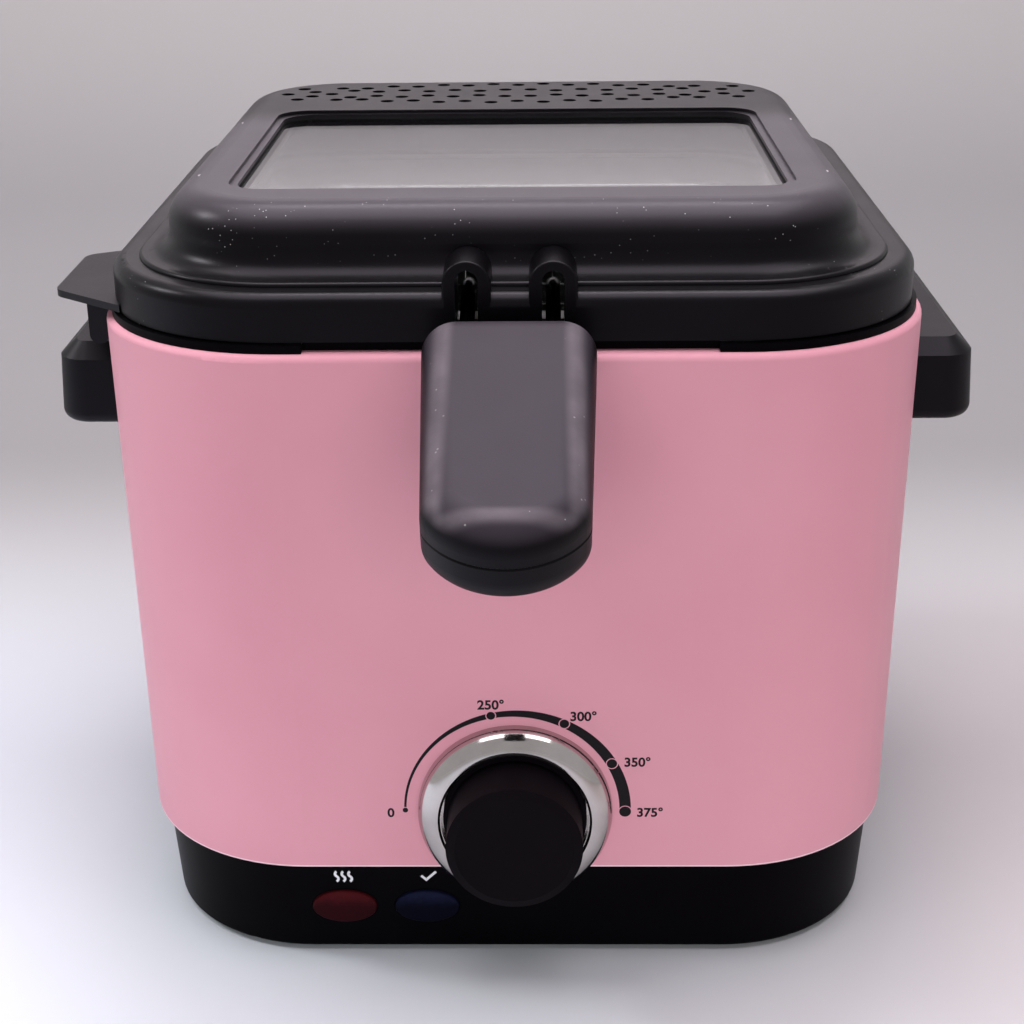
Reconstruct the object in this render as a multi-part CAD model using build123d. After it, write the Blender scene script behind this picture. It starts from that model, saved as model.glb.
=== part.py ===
from build123d import *
import math
import os

# Compact electric deep fryer. Millimetres, +Z up, front towards -Y.
# It is drawn about the middle of the housing, and moved at the end so that
# the origin lies on the table under the middle of the whole fryer.

# Plan outline of the housing at its top edge
body_width = 204.0
body_depth = 220.0
corner_radius = 48.0
body_taper = 0.71

# Housing sleeve
body_top = 167.0
housing_bottom = 29.0
sheet = 1.0
top_roll = 1.8
top_flange = 6.0
hem_width = 6.0

# Base tray
foot_height = 1.2
tray_overhang = 2.6
tray_taper = 4.0
tray_wall = 2.4
tray_floor = 2.2
tray_edge = 1.2
tray_lip_height = 4.0
tray_lip_wall = 1.8
slip = 0.3
vent_slot_width = 4.0
vent_slot_length = 62.0
vent_slot_pitch = 11.0
vent_slot_count = 7

# Rubber feet
foot_radius = 8.0
foot_inset = 32.0

# Rim ring
ring_inset = 1.5
ring_thickness = 2.0
ring_collar_drop = 9.0
ring_collar_wall = 2.2
ring_opening_inset = 22.0
ring_front_cut_width = 96.0
ring_front_cut_depth = 3.0

# Bowl
bowl_flange_inset = 17.5
bowl_flange_thickness = 1.5
bowl_slip = 0.4
bowl_wall = 2.0
bowl_floor = 68.0
bowl_draft = 3.0
bowl_bottom_radius = 16.0

# Tie rods between bowl and base
rod_inset = 52.0
rod_radius = 2.0
rod_collar_radius = 4.0
rod_collar_height = 2.0
rod_boss_radius = 5.0
rod_boss_drop = 5.0
nut_thickness = 3.2
rod_end = 1.0
nut_flats = 7.0
well_depth = 6.0
well_radius = 7.0

# Heating plate under the bowl, with element, shield, cut-out and thermostat bulb
plate_thickness = 3.0
plate_edge = 2.0
plate_corner = 16.0
element_radius = 3.3
element_inset = 14.0
element_sink = 1.0
element_corner = 18.0
element_straight = 1.0
element_gap = 30.0
terminal_length = 12.0
terminal_bend = 6.0
terminal_clear = 2.0
shield_drop = 20.0
shield_inset = 30.0
shield_rim = 6.0
shield_sheet = 0.8
cutout_radius = 7.0
cutout_height = 6.0
cutout_x = 0.0
cutout_y = 20.0
bulb_radius = 3.0
bulb_length = 44.0
bulb_y = -30.0
bulb_sink = 1.0
bulb_clear = 0.6
capillary_radius = 0.8
capillary_bend = 5.0
capillary_drop = 9.0

# Dial on the front face
dial_rise = 16.9
bezel_radius = 24.7
bezel_inner_radius = 18.7
bezel_crest = 5.8
bezel_side = 0.8
bezel_lip = 0.7
bezel_floor = 1.2
bushing_radius = 5.0
bushing_length = 6.5
thermostat_width = 34.0
thermostat_height = 24.0
thermostat_depth = 15.0
thermostat_corner = 2.0
dial_nut_flats = 13.0
dial_nut_thickness = 2.6
shaft_radius = 3.0
shaft_fit = 0.06
shaft_flat = 1.0
shaft_tail = 8.0
shaft_end_gap = 0.5
shaft_nose = 13.0
knob_radius = 16.9
knob_skirt_radius = 18.1
knob_skirt = 2.4
knob_gap = 0.5
knob_front = 18.5
knob_hollow_radius = 13.0
knob_hollow = 7.0
knob_hub_wall = 2.5
knob_hub_gap = 0.7
knob_bevel = 2.2
knob_bevel_rise = 0.9

# Lamps in the base band
lamp_height = 14.7
ready_lamp_x = -23.4
lamp_spacing = 21.6
lens_width = 17.0
lens_height = 10.0
lens_proud = 0.9
lens_edge = 0.7
lens_depth = 3.4
lens_slip = 0.2
holder_radius = 3.6
holder_length = 11.0

# Power inlet at the rear
inlet_rise = 19.0
inlet_width = 44.0
inlet_tall = 27.0
inlet_corner = 5.0
inlet_edge = 1.0
inlet_proud = 7.6
inlet_back = 1.6
inlet_wall = 3.5
socket_corner = 3.0
pin_radius = 2.0
pin_spacing = 11.0
pin_proud = 4.6
pin_tail = 7.0
magnet_width = 4.5
magnet_tall = 11.0
magnet_gap = 2.5
magnet_sink = 0.8
magnet_proud = 1.0

# Side handles
handle_length = 116.0
handle_reach = 16.8
handle_flare = 1.2
handle_drop = 13.0
handle_height = 21.8
handle_wall = 4.0
handle_end = 13.0
handle_round = 8.0
handle_chamfer = 4.0
handle_low_round = 3.0
handle_screw_inset = 6.5
handle_screw_radius = 2.0
handle_screw_length = 10.0
handle_screw_head_radius = 4.0
handle_screw_head = 2.4

# Lid cover
lid_inset = 2.7
lid_wall = 2.2
lid_gap = 0.4
skirt_height = 11.2
shoulder_round = 3.4
step_inset = 6.6
step_rise = 1.0
step_round = 0.9
dome_inset = 14.4
dome_height = 17.0
dome_round = 9.0
dome_fillet = 5.5

# Arched tunnels for the handle wire
wire_spacing = 19.8
tunnel_radius = 5.6
tunnel_rise = 7.6
tunnel_sill = 2.6
tunnel_length = 17.0
slot_width = 5.2
slot_roof = 2.2
tunnel_edge = 0.5

# Window and what holds it
window_side_margin = 15.4
window_front_margin = 19.9
window_rear_margin = 58.0
window_corner = 9.0
window_drop = 1.8
window_step = 1.9
window_step_drop = 0.9
glass_lap = 4.0
glass_thickness = 3.0
gasket_thickness = 0.5
gasket_width = 3.0
frame_thickness = 2.0
frame_bar = 4.0
frame_ear = 4.0
window_boss_radius = 3.4
window_screw_radius = 1.5
window_screw_head_radius = 2.8
window_screw_head = 1.8
window_screw_length = 5.0
window_screw_spacing = 72.0

# Vent field above the filter
vent_radius = 2.05
vent_pitch = 3.95
vent_rear_margin = 29.1
vent_row_outer = 16.9
vent_row_second = 14.9
vent_row_bow = 0.0021
vent_row_third = 6.0
vent_row_inner = 4.0
vent_end_row = 9.6
vent_end_near = 2.4
vent_end_mid = 8.0
vent_end_wide = 12.0
vent_end_far = 16.0
filter_shift = 1.5
filter_side_gap = 8.1
filter_depth = 36.0
filter_thickness = 5.0
filter_tray_wall = 1.6
filter_slot_width = 5.0
filter_slot_pitch = 12.0
filter_slots = 9

# Lift tab
tab_overhang = 15.3
tab_front_inset = 28.5
tab_length = 60.0
tab_front_taper = 15.5
tab_rear_taper = 10.0
tab_thickness = 1.8
tab_corner = 5.0
tab_flange_height = 6.8
tab_flange_margin = 1.8
tab_flange_wall = 1.8
prong_gap = 0.1
prong_back = 21.5
prong_width = 5.0
prong_length = 12.0
prong_drop = 12.5
prong_wall = 1.4
prong_round = 2.4
tab_screw_radius = 1.4
tab_screw_length = 3.2
tab_screw_head_radius = 2.6
tab_screw_head = 1.5
tab_screw_spacing = 26.0
tab_screw_rise = 5.6

# Rear hinge
hinge_reach = 4.9
hinge_rise = 7.0
hinge_radius = 4.2
hinge_pin_radius = 2.0
hinge_fit = 0.08
barrel_length = 80.0
lug_gap = 0.5
lug_width = 8.0
lug_clear = 0.6
barrel_web = 5.0

# Basket
basket_inset = 31.0
basket_drop = 4.0
basket_stand = 16.0
basket_wall = 1.4
basket_draft = 4.0
rim_wire_radius = 1.75
bracket_width = 34.0
bracket_thickness = 1.5
bracket_drop = 3.0
bracket_height = 14.0

# Handle wire and grip
wire_radius = 1.75
wire_bend = 8.0
wire_foot_drop = 15.0
grip_slope = 18.0
grip_gap = 3.8
grip_rise = 1.8
grip_length = 76.0
grip_rear_width = 39.6
grip_nose_width = 34.2
grip_nose_bow = 11.0
grip_rear_round = 8.0
grip_nose_round = 8.0
grip_upper_height = 9.5
grip_upper_round = 7.0
grip_lower_height = 10.5
grip_lower_round = 6.5
grip_seam = 0.35
wire_in_grip = 52.0
grip_screw_radius = 1.5
grip_screw_head_radius = 3.0
grip_screw_head = 2.0
grip_screw_recess = 3.0
grip_screw_length = 9.0
grip_screw_rear = 14.0
grip_screw_spacing = 50.0

# Tolerance for telling edges and corners apart by their place
near = 0.01

# Values worked out from the sizes above
taper_slope = math.tan(math.radians(body_taper))
tray_slope = math.tan(math.radians(tray_taper))
bowl_slope = math.tan(math.radians(bowl_draft))
basket_slope = math.tan(math.radians(basket_draft))
ring_top = body_top + ring_thickness
flange_top = ring_top + bowl_flange_thickness
wall_inset = ring_opening_inset + bowl_slip
bowl_bottom = bowl_floor - bowl_wall
plate_bottom = bowl_bottom - plate_thickness
shield_height = bowl_bottom - shield_drop
tray_inset = (body_top - housing_bottom) * taper_slope + tray_overhang
foot_x = body_width / 2 - foot_inset
foot_y = body_depth / 2 - foot_inset
rod_x = body_width / 2 - rod_inset
rod_y = body_depth / 2 - rod_inset
rod_spots = [(x, y) for x in (-rod_x, rod_x) for y in (-rod_y, rod_y)]
element_x = rod_x + rod_boss_radius - element_inset
element_y = rod_y + rod_boss_radius - element_inset
bulb_reach = bulb_length / 2 + capillary_drop + capillary_radius
bulb_x = min(0.0, element_x - element_radius - bulb_clear - bulb_reach)
dial_height = housing_bottom + dial_rise
inlet_height = housing_bottom + inlet_rise
heating_lamp_x = ready_lamp_x - lamp_spacing
handle_top = body_top - handle_drop
handle_bottom = handle_top - handle_height
skirt_bottom = ring_top + lid_gap
shoulder_height = skirt_bottom + skirt_height
dome_top = shoulder_height + dome_height
tunnel_top = shoulder_height + tunnel_rise
tunnel_floor = skirt_bottom + tunnel_sill
slot_top = tunnel_top - slot_roof
rear_skirt = body_depth / 2 - lid_inset
hinge_y = rear_skirt + hinge_reach
hinge_z = ring_top + hinge_rise
dome_half_width = body_width / 2 - lid_inset - dome_inset
dome_half_depth = body_depth / 2 - lid_inset - dome_inset
window_width = 2 * (dome_half_width - window_side_margin)
window_depth = 2 * dome_half_depth - window_front_margin - window_rear_margin
window_y = (window_front_margin - window_rear_margin) / 2
glass_top = dome_top - window_drop - gasket_thickness
glass_bottom = glass_top - glass_thickness
plateau_under = dome_top - lid_wall
filter_width = 2 * (dome_half_width - lid_wall - filter_tray_wall - filter_side_gap)
vent_centre = dome_half_depth - vent_rear_margin
vent_columns = int((filter_width / 2 - vent_end_far) / vent_pitch)
filter_y = vent_centre - filter_shift
tab_front = -(body_depth / 2 - tab_front_inset)
basket_top = body_top - basket_drop
basket_bottom = bowl_floor + basket_stand
basket_front = body_depth / 2 - basket_inset
bracket_top = basket_top - bracket_drop
bracket_bottom = bracket_top - bracket_height
wire_foot = basket_top - wire_foot_drop
wire_y = -(basket_front + bracket_thickness + wire_radius)
grip_rear = -(body_depth / 2 + grip_gap)
grip_parting = ring_top + grip_rise


def outline(inset):
    """Plan outline of the housing's top edge, drawn in by inset."""
    return RectangleRounded(
        body_width - 2 * inset, body_depth - 2 * inset, corner_radius - inset
    )


def block(inset, low, high):
    """Upright prism on the plan outline drawn in by inset."""
    return extrude(Pos(0, 0, low) * outline(inset), amount=high - low)


def leaning_block(low_inset, low, high_inset, high):
    """Prism whose plan outline changes from low to high."""
    lower = Pos(0, 0, low) * outline(low_inset)
    upper = Pos(0, 0, high) * outline(high_inset)
    return loft([lower, upper], ruled=True)


def sleeve(inset, low, high):
    """Solid that follows the housing's taper, inset from its outer face."""
    low_inset = inset + (body_top - low) * taper_slope
    high_inset = inset + (body_top - high) * taper_slope
    return leaning_block(low_inset, low, high_inset, high)


def ring(outer_inset, inner_inset, low, high):
    """Upright wall between two plan outlines."""
    return block(outer_inset, low, high) - block(inner_inset, low, high)


def face_plane(height, inset=0.0):
    """Plane on the housing's front face, its normal pointing out of the face."""
    lean = math.radians(body_taper)
    front = body_depth / 2 - (body_top - height) * taper_slope - inset
    return Plane(
        origin=(0, -front, height),
        x_dir=(1, 0, 0),
        z_dir=(0, -math.cos(lean), -math.sin(lean)),
    )


def rear_plane(height):
    """Plane on the housing's rear face, its normal pointing out of the face."""
    lean = math.radians(body_taper)
    rear = body_depth / 2 - (body_top - height) * taper_slope
    return Plane(
        origin=(0, rear, height),
        x_dir=(-1, 0, 0),
        z_dir=(0, math.cos(lean), -math.sin(lean)),
    )


def lamp_plane(x):
    """Plane on the tray's front face at a lamp, its normal pointing out."""
    lean = math.radians(tray_taper)
    inset = tray_inset + (housing_bottom - lamp_height) * tray_slope
    return Plane(
        origin=(x, -(body_depth / 2 - inset), lamp_height),
        x_dir=(1, 0, 0),
        z_dir=(0, -math.cos(lean), -math.sin(lean)),
    )


dial_plane = face_plane(dial_height)
inlet_plane = rear_plane(inlet_height)


def rod(radius, low, high, x=0.0, y=0.0):
    """Upright cylinder between two heights."""
    return Pos(x, y, (low + high) / 2) * Cylinder(radius, high - low)


def side_rod(radius, start, end, y, z):
    """Cylinder along X between two places."""
    return Pos((start + end) / 2, y, z) * Rot(0, 90, 0) * Cylinder(radius, abs(end - start))


def spun(points):
    """Solid of revolution about Z from a closed outline of radius and height."""
    return revolve(Plane.XZ * make_face(Polyline(*points, close=True)), Axis.Z)


def handle_side_x(height):
    """Distance of the housing's side face from the middle at a height."""
    return body_width / 2 - (body_top - height) * taper_slope


handle_screw_z = (handle_bottom + handle_top) / 2
handle_screw_ys = [s * (handle_length / 2 - handle_screw_inset) for s in (-1, 1)]


def make_housing():
    """Sleeve of painted sheet with a rolled top edge and a turned-in hem."""
    shell = sleeve(0, housing_bottom, body_top)
    shell = fillet(shell.edges().group_by(Axis.Z)[-1], top_roll)
    shell -= sleeve(sheet, housing_bottom + sheet, body_top - sheet)
    shell -= block(top_flange, body_top - 2 * sheet, body_top + sheet)
    hem_inset = hem_width + (body_top - housing_bottom) * taper_slope
    shell -= block(hem_inset, housing_bottom - sheet, housing_bottom + 2 * sheet)
    shell -= dial_plane * Cylinder(bushing_radius + slip, 6 * sheet)
    for x in pin_places():
        shell -= inlet_plane * Pos(x, 0, 0) * Cylinder(pin_radius + slip, 6 * sheet)
    for y in handle_screw_ys:
        reach = body_width / 2 + sheet
        shell -= side_rod(handle_screw_radius, -reach, reach, y, handle_screw_z)
    return shell


def make_tray():
    """Moulded base with leaning walls, a vented floor and wells for the nuts."""
    floor_inset = tray_inset + (housing_bottom - foot_height) * tray_slope
    tray = leaning_block(floor_inset, foot_height, tray_inset, housing_bottom)
    tray = fillet(tray.edges().group_by(Axis.Z)[0], tray_edge)
    floor_top = foot_height + tray_floor
    low_inset = tray_inset + (housing_bottom - floor_top) * tray_slope + tray_wall
    tray -= leaning_block(low_inset, floor_top, tray_inset + tray_wall, housing_bottom)
    hem_inset = hem_width + (body_top - housing_bottom) * taper_slope
    lip_outer = hem_inset + slip
    lip_inner = lip_outer + tray_lip_wall
    step = housing_bottom - tray_lip_height
    tray += ring(tray_inset + tray_wall, lip_inner, step, housing_bottom - slip)
    tray += ring(lip_outer, lip_inner, step, housing_bottom + tray_lip_height)
    for x, y in rod_spots:
        tray += rod(well_radius + tray_floor, foot_height, foot_height + well_depth + tray_floor, x, y)
        tray -= rod(well_radius, foot_height, foot_height + well_depth, x, y)
        tray -= rod(rod_radius + slip, foot_height, body_top, x, y)
    slot = SlotOverall(vent_slot_length, vent_slot_width, rotation=90)
    slots = Sketch() + [spot * slot for spot in GridLocations(vent_slot_pitch, 1, vent_slot_count, 1)]
    tray -= extrude(Pos(0, 0, foot_height) * slots, amount=tray_floor)
    for x in (heating_lamp_x, ready_lamp_x):
        hole = Ellipse(lens_width / 2 + lens_slip, lens_height / 2 + lens_slip)
        tray -= lamp_plane(x) * extrude(hole, amount=2 * tray_wall, both=True)
    return tray


def make_feet():
    """Four rubber feet under the tray."""
    return [
        rod(foot_radius, 0, foot_height, x, y)
        for x in (-foot_x, foot_x)
        for y in (-foot_y, foot_y)
    ]


def make_rim_ring():
    """Ring on the housing's top edge, with its collar and the two hinge lugs."""
    part = ring(ring_inset, ring_opening_inset, body_top, ring_top)
    collar = top_flange + slip
    part += ring(collar, collar + ring_collar_wall, body_top - ring_collar_drop, body_top)
    front = -(body_depth / 2 - ring_inset)
    part -= Pos(0, front, body_top) * Box(
        ring_front_cut_width, 2 * ring_front_cut_depth, 3 * ring_thickness
    )
    lug_front = rear_skirt + lug_clear
    for side in (-1, 1):
        x = side * (barrel_length / 2 + lug_gap + lug_width / 2)
        lug = side_rod(hinge_radius, x - lug_width / 2, x + lug_width / 2, hinge_y, hinge_z)
        depth = hinge_y + hinge_radius - lug_front
        lug += Pos(x, lug_front + depth / 2, (body_top + hinge_z) / 2) * Box(
            lug_width, depth, hinge_z - body_top
        )
        part += lug
    reach = barrel_length / 2 + 2 * lug_width
    part -= side_rod(hinge_pin_radius, -reach, reach, hinge_y, hinge_z)
    return part


def make_hinge_pin():
    """Pin through the lugs and the lid's barrel."""
    half = barrel_length / 2 + lug_gap + lug_width
    return side_rod(hinge_pin_radius, -half, half, hinge_y, hinge_z)


def make_bowl():
    """Pressed oil bowl with a flange and a rounded bottom."""
    low_inset = wall_inset + (flange_top - bowl_bottom) * bowl_slope
    cavity_inset = wall_inset + bowl_wall + (flange_top - bowl_floor) * bowl_slope
    bottom_round = min(bowl_bottom_radius, corner_radius - low_inset - sheet)
    bowl = leaning_block(low_inset, bowl_bottom, wall_inset, flange_top)
    bowl = fillet(bowl.edges().group_by(Axis.Z)[0], bottom_round)
    bowl += block(bowl_flange_inset, ring_top, flange_top)
    cavity = leaning_block(cavity_inset, bowl_floor, wall_inset + bowl_wall, flange_top)
    return bowl - fillet(cavity.edges().group_by(Axis.Z)[0], bottom_round - bowl_wall)


def make_heat_plate():
    """Plate brazed under the bowl: bosses for the rods, grooves for element and bulb."""
    width = 2 * (rod_x + rod_boss_radius + plate_edge)
    depth = 2 * (rod_y + rod_boss_radius + plate_edge)
    outline_shape = RectangleRounded(width, depth, plate_corner)
    plate = extrude(Pos(0, 0, plate_bottom) * outline_shape, amount=plate_thickness)
    for x, y in rod_spots:
        plate += rod(rod_boss_radius, plate_bottom - rod_boss_drop, plate_bottom, x, y)
        plate -= rod(rod_radius, plate_bottom - rod_boss_drop, bowl_bottom - rod_end, x, y)
    return plate - element_solid() - bulb_solid()


def element_solid():
    """Tubular element: an open loop with both ends turned down at the rear."""
    z = plate_bottom - element_sink
    x, y = element_x, element_y
    gap = element_gap / 2
    low = z - terminal_length
    corner = min(element_corner, x - gap - terminal_bend - element_straight)
    path = FilletPolyline(
        (-gap, y, low),
        (-gap, y, z),
        (-x, y, z),
        (-x, -y, z),
        (x, -y, z),
        (x, y, z),
        (gap, y, z),
        (gap, y, low),
        radius=(terminal_bend, *4 * (corner,), terminal_bend),
    )
    section = Plane(origin=path @ 0, z_dir=path % 0) * Circle(element_radius)
    return sweep(section, path=path)


def bulb_solid():
    """Sensing bulb in its groove under the plate."""
    low, high = bulb_x - bulb_length / 2, bulb_x + bulb_length / 2
    return side_rod(bulb_radius, low, high, bulb_y, plate_bottom - bulb_sink)


def make_bulb():
    """Sensing bulb with the capillary that runs to the thermostat."""
    z = plate_bottom - bulb_sink
    end = bulb_x + bulb_length / 2
    rear = thermostat_rear()
    path = FilletPolyline(
        (end - bulb_radius, bulb_y, z),
        (end + capillary_drop, bulb_y, z),
        (end + capillary_drop, bulb_y, z - capillary_drop),
        (thermostat_width / 4, bulb_y, z - capillary_drop),
        (thermostat_width / 4, rear, z - capillary_drop),
        radius=capillary_bend,
    )
    section = Plane(origin=path @ 0, z_dir=path % 0) * Circle(capillary_radius)
    return bulb_solid() + sweep(section, path=path)


def thermostat_rear():
    """Y of the thermostat's rear face at its middle height."""
    return dial_plane.origin.Y + sheet + thermostat_depth


def make_shield():
    """Sheet pan between the hot bowl and the base."""
    low = shield_height
    high = shield_height + shield_rim
    shield = block(shield_inset, low, high)
    shield -= block(shield_inset + shield_sheet, low + shield_sheet, high)
    for x, y in rod_spots:
        shield -= rod(rod_radius + slip, low, high, x, y)
    for x in (-element_gap / 2, element_gap / 2):
        shield -= rod(element_radius + terminal_clear, low, high, x, element_y)
    return shield


def make_tie_rods():
    """Four rods with a collar that carries the shield."""
    rods = []
    for x, y in rod_spots:
        bottom = foot_height + well_depth - nut_thickness - rod_end
        bar = rod(rod_radius, bottom, bowl_bottom - rod_end, x, y)
        bar += rod(rod_collar_radius, shield_height - rod_collar_height, shield_height, x, y)
        rods.append(bar)
    return rods


def hexagon(flats):
    """Hexagon of a width across flats."""
    return RegularPolygon(flats / 2, 6, major_radius=False)


def make_tie_nuts():
    """Nuts in the wells under the tray."""
    top = foot_height + well_depth
    nuts = []
    for x, y in rod_spots:
        nut = extrude(Pos(x, y, top - nut_thickness) * hexagon(nut_flats), amount=nut_thickness)
        nuts.append(nut - rod(rod_radius, 0, body_top, x, y))
    return nuts


def make_cutout():
    """Thermal cut-out can against the plate's underside."""
    return rod(cutout_radius, plate_bottom - cutout_height, plate_bottom, cutout_x, cutout_y)


def make_thermostat():
    """Thermostat body behind the front wall, with its bushing."""
    body = Pos(0, 0, -sheet - thermostat_depth / 2) * Box(
        thermostat_width, thermostat_height, thermostat_depth
    )
    body = fillet(body.edges().filter_by(Axis.Z), thermostat_corner)
    body += Pos(0, 0, bushing_length / 2 - sheet) * Cylinder(bushing_radius, bushing_length)
    body -= rod(shaft_radius + shaft_fit, -shaft_tail - shaft_end_gap, bushing_length)
    return dial_plane * body


def make_dial_nut():
    """Nut that clamps bezel and thermostat to the wall."""
    nut = extrude(Pos(0, 0, bezel_floor) * hexagon(dial_nut_flats), amount=dial_nut_thickness)
    return dial_plane * (nut - Cylinder(bushing_radius, 4 * bushing_length))


def make_bezel():
    """Polished ring that swells from its outer edge to a lip round the knob."""
    bore = bushing_radius + slip
    crest_radius = bezel_inner_radius + bezel_lip
    edge = Polyline(
        (bezel_inner_radius, bezel_crest - bezel_lip),
        (bezel_inner_radius, bezel_floor),
        (bore, bezel_floor),
        (bore, 0),
        (bezel_radius, 0),
        (bezel_radius, bezel_side),
    )
    dome = EllipticalCenterArc(
        (crest_radius, bezel_side),
        bezel_radius - crest_radius,
        bezel_crest - bezel_side,
        arc_size=90,
    )
    lip = RadiusArc(
        (crest_radius, bezel_crest), (bezel_inner_radius, bezel_crest - bezel_lip), bezel_lip
    )
    return dial_plane * revolve(Plane.XZ * make_face([edge, dome, lip]), Axis.Z)


def make_knob():
    """Knob with a skirt, a hollow back, a hub and a bevelled face."""
    back = bezel_floor + knob_gap
    skirt = back + knob_skirt
    hub = shaft_radius + knob_hub_wall
    hub_low = bushing_length - sheet + knob_hub_gap
    face = knob_front - knob_bevel_rise
    hollow = back + knob_hollow
    knob = spun(
        [
            (0, hub_low),
            (hub, hub_low),
            (hub, hollow),
            (knob_hollow_radius, hollow),
            (knob_hollow_radius, back),
            (knob_skirt_radius, back),
            (knob_skirt_radius, skirt),
            (knob_radius, skirt),
            (knob_radius, face),
            (knob_radius - knob_bevel, knob_front),
            (0, knob_front),
        ]
    )
    return dial_plane * knob - make_shaft()


def make_shaft():
    """Thermostat shaft with a flat on the end that carries the knob."""
    shaft = rod(shaft_radius, -shaft_tail, shaft_nose)
    middle = (bushing_length + shaft_nose) / 2
    shaft -= Pos(0, 2 * shaft_radius - shaft_flat, middle) * Box(
        2 * shaft_radius, 2 * shaft_radius, shaft_nose - bushing_length
    )
    return dial_plane * shaft


def make_lens(x):
    """Oval lamp lens with a rounded front edge."""
    lens = extrude(Ellipse(lens_width / 2, lens_height / 2), amount=lens_depth)
    lens = fillet(lens.edges().group_by(Axis.Z)[-1], lens_edge)
    return lamp_plane(x) * Pos(0, 0, lens_proud - lens_depth) * lens


def make_lamp_holders():
    """Lamp bodies behind the two lenses."""
    rear = lens_proud - lens_depth
    return [
        lamp_plane(x) * Pos(0, 0, rear - holder_length / 2) * Cylinder(holder_radius, holder_length)
        for x in (heating_lamp_x, ready_lamp_x)
    ]


def pin_places():
    """Places of the two contact pins across the inlet."""
    return [side * pin_spacing / 2 for side in (-1, 1)]


def magnet_places():
    """Places of the two steel plates, beside the socket's side walls."""
    reach = inlet_width / 2 - inlet_wall - magnet_gap - magnet_width / 2
    return [side * reach for side in (-1, 1)]


def make_inlet():
    """Inlet block on the rear face, with a blind socket for a magnetic plug."""
    width = inlet_width - 2 * inlet_wall
    tall = inlet_tall - 2 * inlet_wall
    part = extrude(RectangleRounded(inlet_width, inlet_tall, inlet_corner), amount=inlet_proud)
    part = fillet(part.edges().group_by(Axis.Z)[-1], inlet_edge)
    socket = Pos(0, 0, inlet_back) * RectangleRounded(width, tall, socket_corner)
    part -= extrude(socket, amount=inlet_proud)
    for x in pin_places():
        part -= Pos(x, 0, 0) * Cylinder(pin_radius, 4 * inlet_back)
    for x in magnet_places():
        part -= Pos(x, 0, inlet_back) * Box(magnet_width, magnet_tall, 2 * magnet_sink)
    return inlet_plane * part


def make_inlet_pins():
    """Two contact pins that stand in the socket."""
    pins = []
    for x in pin_places():
        pin = rod(pin_radius, -pin_tail, inlet_back + pin_proud, x)
        pins.append(inlet_plane * fillet(pin.edges().group_by(Axis.Z)[-1], pin_radius / 2))
    return pins


def make_inlet_plates():
    """Two steel plates that a magnetic plug grips."""
    height = magnet_sink + magnet_proud
    middle = inlet_back - magnet_sink + height / 2
    return [
        inlet_plane * Pos(x, 0, middle) * Box(magnet_width, magnet_tall, height)
        for x in magnet_places()
    ]


def make_handle(side):
    """Carrying handle: a bevelled, flared hollow block that is open below for the fingers."""
    outer = body_width / 2 + handle_reach
    root = body_width / 2 - 2 * handle_wall
    profile = Polyline(
        (root, handle_bottom),
        (outer + handle_flare, handle_bottom),
        (outer, handle_top),
        (root, handle_top),
        close=True,
    )
    bar = extrude(Plane.XZ * make_face(profile), amount=handle_length / 2, both=True)
    ends = bar.faces().sort_by(Axis.X)[-1].edges().filter_by(Axis.Y, reverse=True)
    bar = fillet(ends, handle_round)
    free = root + handle_wall
    lower = bar.faces().sort_by(Axis.Z)[0].edges().filter_by(lambda e: e.center().X > free)
    bar = fillet(lower, handle_low_round)
    upper = bar.faces().sort_by(Axis.Z)[-1].edges().filter_by(lambda e: e.center().X > free)
    bar = chamfer(upper, handle_chamfer)
    gap_depth = outer - handle_wall - root
    bar -= Pos(root + gap_depth / 2, 0, handle_bottom + (handle_height - handle_wall) / 2) * Box(
        gap_depth, handle_length - 2 * handle_end, handle_height - handle_wall
    )
    bar -= sleeve(0, housing_bottom, body_top)
    for y in handle_screw_ys:
        tip = handle_side_x(handle_screw_z) + handle_screw_length
        bar -= side_rod(handle_screw_radius, root, tip, y, handle_screw_z)
    return bar if side > 0 else mirror(bar, Plane.YZ)


def make_handle_screws():
    """Screws from inside the housing into the handles' end blocks."""
    screws = []
    inner = handle_side_x(handle_screw_z - handle_screw_head_radius) - sheet
    tip = handle_side_x(handle_screw_z) + handle_screw_length
    for y in handle_screw_ys:
        screw = side_rod(handle_screw_radius, inner - handle_screw_head, tip, y, handle_screw_z)
        screw += side_rod(handle_screw_head_radius, inner - handle_screw_head, inner, y, handle_screw_z)
        screws += [screw, mirror(screw, Plane.YZ)]
    return screws


def vent_places():
    """Vent holes: bowed outer rows, straight inner rows and rounded ends."""
    places = []
    for column in range(-vent_columns, vent_columns + 1):
        x = column * vent_pitch
        step = abs(column) % 4
        rows = (
            vent_row_second - vent_row_bow * x * x,
            vent_row_third,
            vent_row_outer - vent_row_bow * x * x,
            vent_row_inner,
        )
        places += [(x, vent_centre - rows[step]), (x, vent_centre + rows[step])]
    last = vent_columns * vent_pitch
    for side in (-1, 1):
        places += [(side * (last + reach), vent_centre) for reach in (vent_end_near, vent_end_far)]
        for row in (-1, 1):
            places.append((side * (last + vent_end_mid), vent_centre + row * vent_row_inner))
            places.append((side * (last + vent_end_wide), vent_centre + row * vent_end_row))
    return places


def window_outline(grow):
    """Window opening, grown all round."""
    return Pos(0, window_y, 0) * RectangleRounded(
        window_width + 2 * grow, window_depth + 2 * grow, window_corner + max(grow, 0)
    )


def window_slab(grow, low, high):
    """Slab on the window's outline between two heights."""
    return extrude(Pos(0, 0, low) * window_outline(grow), amount=high - low)


def window_screw_places():
    """Screw places beside the window."""
    x = window_width / 2 + glass_lap + window_boss_radius + slip
    return [(s * x, window_y + t * window_screw_spacing / 2) for s in (-1, 1) for t in (-1, 1)]


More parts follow.
